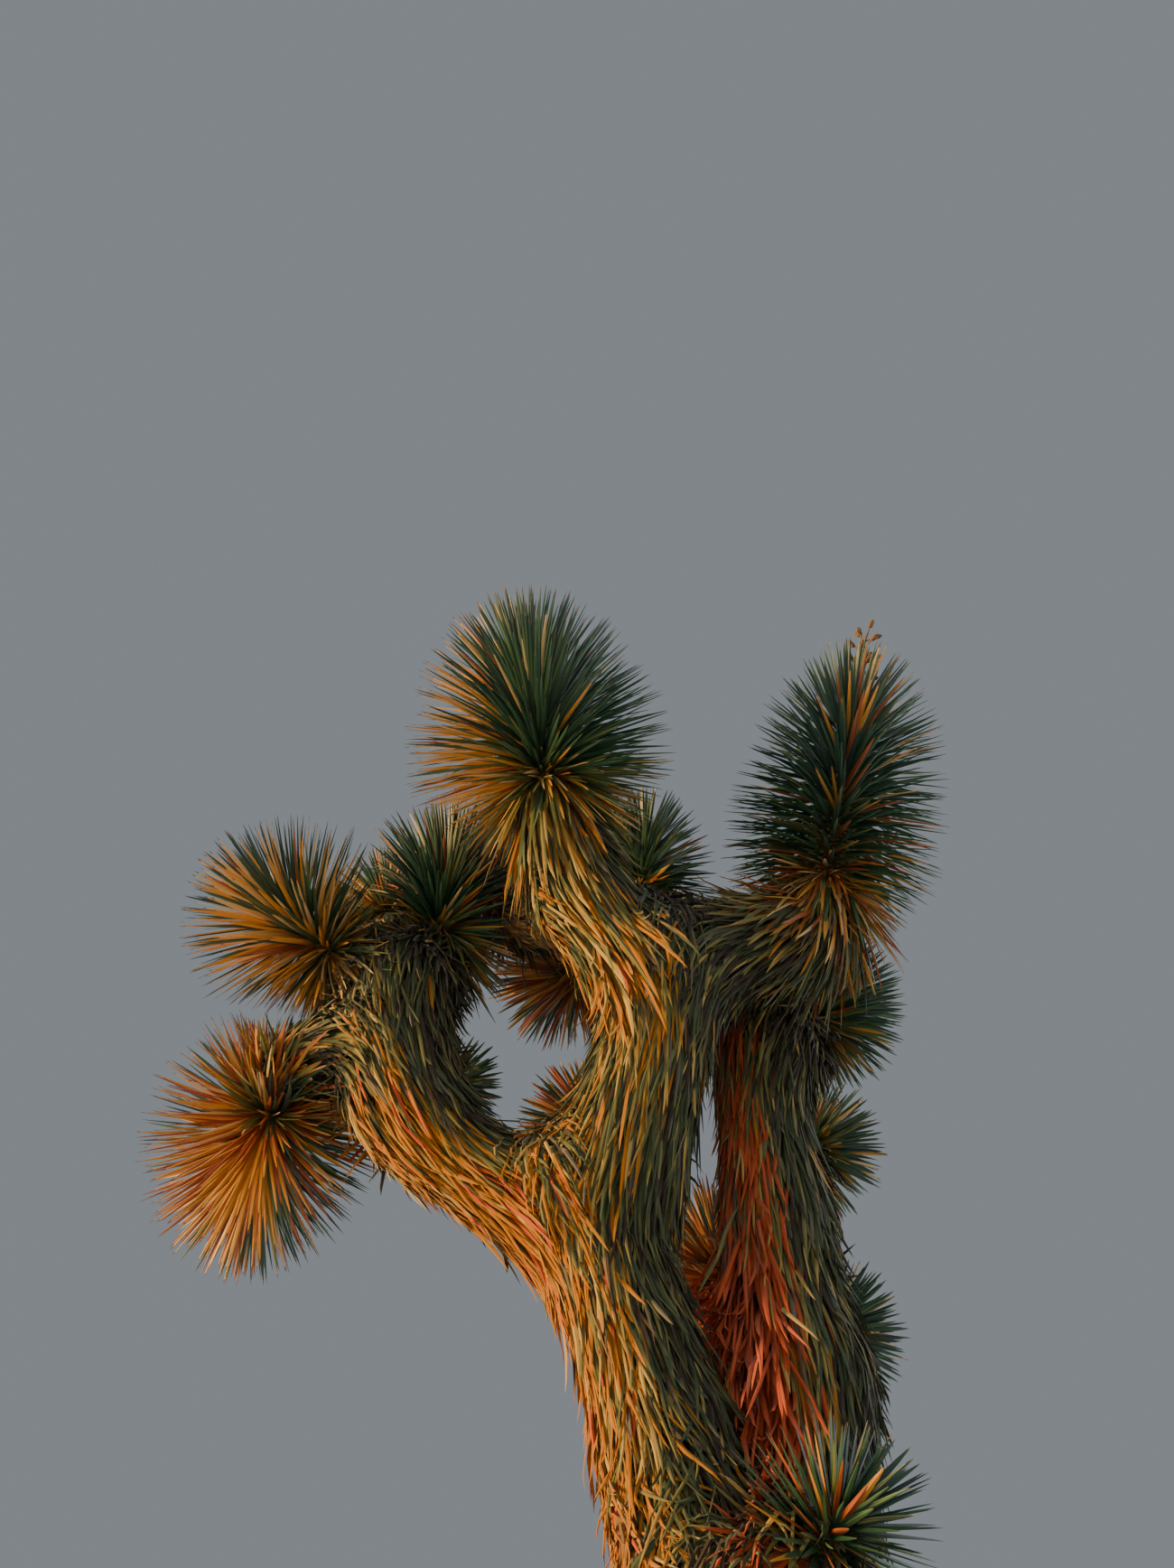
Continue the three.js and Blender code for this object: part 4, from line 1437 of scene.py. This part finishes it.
HEADS = [
    Head("head_top", "bough_top", 0.320, 0.345, 0.03,
         light_from=(-0.9, 0.1, 0.1), russet=0.10, painted_light_leaves=0.60, skirt=0.03, faded=0.65),
    Head("head_right", "bough_right", 0.540, 0.292, 0.02,
         light_from=(0.3, -0.3, -0.9), russet=0.45, flower=True, painted_light_leaves=0.12, skirt=0.12, faded=0.20),
    Head("head_leader", "bough_leader", 0.200, 0.215, 0.02),
    Head("head_under_fork", "bough_under_fork", 0.180, 0.240, 0.40,
         light_from=(-0.2, -0.6, -0.8), russet=0.5, painted_light_leaves=0.5, skirt=0.10, faded=0.25),
    Head("head_far_middle", "bough_far_middle", 0.180, 0.210, 0.06),
    Head("head_left", "bough_left", 0.200, 0.305, 0.36,
         light_from=(-0.8, -0.4, -0.2), russet=0.08, painted_light_leaves=0.42, skirt=0.14, faded=0.40),
    Head("head_low_left", "bough_low_left", 0.235, 0.305, 0.40,
         light_from=(-0.5, -0.4, -0.8), russet=0.42, painted_light_leaves=0.38, skirt=0.14, faded=0.28),
    Head("head_inner_left", "bough_inner_left", 0.250, 0.285, 0.04,
         light_from=(-0.9, 0.2, -0.2), painted_light_leaves=0.20, faded=0.7),
    Head("head_far_left", "bough_far_left", 0.140, 0.190, 0.35),
    Head("head_elbow", "bough_elbow", 0.110, 0.165, 0.04, faded=0.7),
    Head("head_back_middle", "bough_back_middle", 0.160, 0.230, 0.40,
         light_from=(-0.2, -0.6, -0.8), russet=0.5, painted_light_leaves=0.5, skirt=0.08, faded=0.2),
    Head("head_back_gap", "bough_back_gap", 0.240, 0.250, 0.50,
         light_from=(-0.3, -0.6, -0.7), russet=0.5, painted_light_leaves=0.5, skirt=0.32, faded=0.1),
    Head("head_right_stem", "bough_right_stem", 0.280, 0.245, 0.03, faded=0.7),
    Head("head_back_right", "bough_back_right", 0.170, 0.215, 0.04, faded=0.7),
    Head("head_low_right", "bough_low_right", 0.130, 0.200, 0.06),
    Head("head_trunk_shoot", "bough_trunk_shoot", 0.090, 0.180, 0.06,
         light_from=(-0.7, -0.5, -0.5), russet=0.6, painted_light_leaves=0.15, skirt=0.05, faded=0.2),
]

# Limbs and heads that are made in one piece; those that stand in no such list are made with the back ones.
STEMS = ("right_stem", "left_bough", "left_bough_upper", "centre_bough")
FRONT_BOUGHS = (
    "bough_top", "bough_right", "bough_leader", "bough_under_fork", "bough_left", "bough_low_left",
    "bough_inner_left", "bough_trunk_shoot",
)
GOLDEN_HEADS = ("head_left", "head_low_left", "head_far_left")
FRONT_HEADS = (
    "head_top", "head_right", "head_leader", "head_inner_left", "head_under_fork", "head_trunk_shoot"
)


@dataclass
class FlowerStalk:
    """The short dried flower stalk that one head still carries, with its branchlets and dead pods.

    Args:
        sunk: how deep its foot stands in the head.
        joints: stretches from foot to tip.
        taper: what each loses of the foot's width.
        pod: radius of a pod before it is drawn out.
    """

    head: Head
    length: float = 0.275
    thick: float = 0.008
    sunk: float = 0.03
    joints: int = 4
    taper: float = 0.17
    pods: int = 16
    pod: float = 0.014

    BRANCHLET = (0.0022, 0.0014)  # its radius at the foot and at the pod

    def rod(self, bm: bmesh.types.BMesh, start: Vector, end: Vector, radii: tuple[float, float]) -> None:
        """Adds a round rod.

        Args:
            bm: the bmesh that gets it.
            start: where it starts.
            end: where it ends.
            radii: its radius at each of those places.
        """
        turned = (end - start).to_track_quat("Z", "Y").to_matrix().to_4x4()
        turned.translation = (start + end) / 2
        bmesh.ops.create_cone(bm, cap_ends=True, segments=7, radius1=radii[0], radius2=radii[1],
                              depth=(end - start).length, matrix=turned)

    def hang_pod(self, bm: bmesh.types.BMesh, place: Vector, out: Vector) -> None:
        """Adds a dead pod.

        Args:
            bm: the bmesh that gets it.
            place: the end of its branchlet.
            out: the direction of the branchlet.
        """
        made = bmesh.ops.create_icosphere(bm, subdivisions=1, radius=self.pod)["verts"]
        aim = (out + Vector((0, 0, -0.3))).to_track_quat("Z", "Y").to_matrix()
        bmesh.ops.scale(bm, vec=(0.55, 0.62, 1.15), verts=made)
        bmesh.ops.rotate(bm, cent=(0, 0, 0), matrix=aim, verts=made)
        bmesh.ops.translate(bm, vec=place + out * self.pod, verts=made)

    def build(self, rng: np.random.Generator) -> bpy.types.Object:
        """Builds and dresses the stalk.

        Args:
            rng: source of the random numbers.

        Returns:
            The stalk.
        """
        bm = bmesh.new()
        axis, count = Vector(self.head.axis), self.joints
        foot = Vector(self.head.base) + axis * (self.head.green - self.sunk)
        turned = axis.to_track_quat("Z", "Y")
        line = [foot]
        for i in range(1, count + 1):
            line.append(foot + axis * self.length * i / count + turned @ Vector(rng.normal(0, 0.004, 3)))
        for i in range(count):
            radii = (self.thick * (1 - self.taper * i), self.thick * (1 - self.taper * (i + 1)))
            self.rod(bm, line[i], line[i + 1], radii)
        for i in range(self.pods):
            share = 0.40 + 0.58 * i / self.pods
            k = min(int(share * count), count - 1)
            start = line[k].lerp(line[k + 1], share * count - k)
            turn = i * GOLDEN_TURN
            out = turned @ Vector((math.cos(turn), math.sin(turn), 0.8)).normalized()
            end = start + out * (0.050 - 0.030 * share) * rng.uniform(0.8, 1.2)
            self.rod(bm, start, end, self.BRANCHLET)
            self.hang_pod(bm, end, out)
        bmesh.ops.recalc_face_normals(bm, faces=bm.faces)
        piece = make_object(bm, "flower_stalk", LeafSkin(Tone.TAN, False).material())
        piece.data.uv_layers.new(name=LEAF_MAP)
        return piece


@dataclass
class Crown:
    """All heads of leaves on their boughs."""

    skeleton: Skeleton
    heads: list[Head]

    def leaves(self, name: str, names: tuple[str, ...]) -> bpy.types.Object:
        """Grows the leaves of some heads as one piece.

        Args:
            name: name of the piece.
            names: names of the heads.

        Returns:
            The piece.
        """
        blades = Blades(DAGGER, True)
        for number, head in enumerate(self.heads):
            if head.name in names:
                rng = np.random.default_rng([SEED, 2, number])
                LOG.info("%s: %d leaves", head.name, head.grow(self.skeleton, self.heads, rng, blades))
        piece = blades.piece(name, [*Head.TONES, Tone.SPINE, Tone.SHEATH])
        return settle_in(piece, names)

    def stems(self) -> bpy.types.Object:
        """Builds the stems inside all heads as one piece.

        Returns:
            The piece.
        """
        bm = barked_bmesh()
        for head in self.heads:
            head.stem(bm)
        # The stems inside the heads take the dark colour of the stem under the thatch: painted shade.
        for v in bm.verts:
            v[bm.verts.layers.float["cover"]] = 1.0
        bmesh.ops.recalc_face_normals(bm, faces=bm.faces)
        piece = make_object(bm, "head_stems", Bark().material(), smooth=True)
        return settle_in(piece, tuple(head.name for head in self.heads))


@dataclass(frozen=True)
class Lamp:
    """A soft light that comes evenly from one side, so that it leaves no edge on the floor.

    Args:
        towards: direction in which the lamp lies.
        spread: width of the lamp as the tree sees it, in degrees.
        power: watts for each square metre.
    """

    name: str
    towards: tuple[float, float, float]
    spread: float
    power: float
    colour: str

    def hang(self) -> None:
        """Adds the lamp to the scene."""
        data = bpy.data.lights.new(self.name, "SUN")
        data.angle, data.energy, data.color = math.radians(self.spread), self.power, linear(self.colour)[:3]
        lamp = add_object(self.name, data)
        lamp.location = Vector(self.towards).normalized() * 8
        lamp.rotation_euler = Vector(self.towards).to_track_quat("Z", "Y").to_euler()


@dataclass
class Studio:
    """Plain floor, soft lights and the camera, which looks steeply up into the crown as in the photograph."""

    camera_place: tuple[float, float, float] = (-0.175, -1.95, 1.0)
    camera_pitch: float = 68.5
    focal_pixels: float = 1369.0
    image_height: float = 1736.0
    sensor: float = 36.0
    floor_size: float = 240.0
    lamps: tuple[Lamp, ...] = (
        Lamp("key", (-1.0, -0.20, 0.07), 12, 8.6, "#ffcf8a"),
        Lamp("fill", (0.4, -1.0, 0.5), 70, 0.55, "#e4eeff"),
        Lamp("far_side", (0.9, 0.5, 0.5), 70, 1.25, "#eef3ff"),
        Lamp("top", (0.1, 0.3, 1.0), 90, 1.1, "#f4f8ff"),
    )
    surroundings: str = "#ccd5dc"
    surrounding_light: float = 0.36

    def build(self) -> None:
        """Builds the floor, the lights, the surrounding light and the camera."""
        bm = bmesh.new()
        bmesh.ops.create_grid(bm, x_segments=1, y_segments=1, size=self.floor_size / 2)
        make_object(bm, "floor", Plaster().material())
        for lamp in self.lamps:
            lamp.hang()

        world = bpy.data.worlds.new("studio")
        world.use_nodes = True
        tree = world.node_tree
        tree.nodes.clear()
        light = {"Color": linear(self.surroundings), "Strength": self.surrounding_light}
        sky = add_node(tree, "Background", light)
        add_node(tree, "OutputWorld", links={"Surface": sky.outputs["Background"]})
        bpy.context.scene.world = world

        data = bpy.data.cameras.new("camera")
        data.sensor_width = self.sensor
        data.lens = self.sensor * self.focal_pixels / self.image_height
        data.clip_start = 0.05
        camera = add_object("camera", data)
        camera.location = self.camera_place
        camera.rotation_euler = (math.radians(90 + self.camera_pitch), 0, 0)
        bpy.context.scene.camera = camera


def settle_in(piece: bpy.types.Object, nodes: tuple[str, ...]) -> bpy.types.Object:
    """Puts a piece in the place of the solids that it stands for, and reports it.

    Args:
        piece: the piece.
        nodes: names of those solids.

    Returns:
        The piece.
    """
    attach(piece, "root")
    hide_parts(*nodes)
    piece.data.calc_loop_triangles()
    LOG.info("%s: %d triangles", piece.name, len(piece.data.loop_triangles))
    return piece


def lay_thatch(skeleton: Skeleton, name: str, names: tuple[str, ...]) -> bpy.types.Object:
    """Lays the thatch of some limbs as one piece.

    Args:
        skeleton: all limbs.
        name: name of the piece.
        names: names of the limbs.

    Returns:
        The piece.
    """
    blades = Blades(STRAP, False)
    for number, limb in enumerate(LIMBS):
        if limb.name in names:
            rng = np.random.default_rng([SEED, 1, number])
            thatch = Thatch(limb, skeleton, rng, COATS.get(limb.name, Coat()))
            LOG.info("%s: %d dead leaves", limb.name, thatch.lay(blades))
    return settle_in(blades.piece(name, Thatch.TONES), names)


def main() -> None:
    """Builds the tree from the ground up."""
    logging.basicConfig(level=logging.INFO, format="%(name)s: %(message)s")
    Studio().build()
    skeleton = Skeleton()
    skeleton.lay()
    boughs = tuple(limb.name for limb in LIMBS if limb.parent)
    settle_in(Wood([skeleton.limbs["trunk"]]).build("trunk_wood"), ("trunk",))
    settle_in(Wood([skeleton.limbs[n] for n in boughs]).build("bough_wood"), boughs)
    lay_thatch(skeleton, "trunk_thatch", ("trunk",))
    lay_thatch(skeleton, "stem_thatch", STEMS)
    lay_thatch(skeleton, "front_thatch", FRONT_BOUGHS)
    back_boughs = tuple(n for n in boughs if n not in STEMS + FRONT_BOUGHS)
    lay_thatch(skeleton, "back_thatch", back_boughs)

    for head in HEADS:
        head.stand(skeleton.limbs[head.bough])
    crown = Crown(skeleton, HEADS)
    crown.stems()
    crown.leaves("golden_leaves", GOLDEN_HEADS)
    crown.leaves("front_leaves", FRONT_HEADS)
    back = tuple(h.name for h in HEADS if h.name not in GOLDEN_HEADS + FRONT_HEADS)
    crown.leaves("back_leaves", back)
    flowering = next(head for head in HEADS if head.flower)
    stalk = FlowerStalk(flowering).build(np.random.default_rng([SEED, 3]))
    settle_in(stalk, (flowering.name,))

    bpy.context.view_layer.update()


if __name__ == "__main__":
    main()
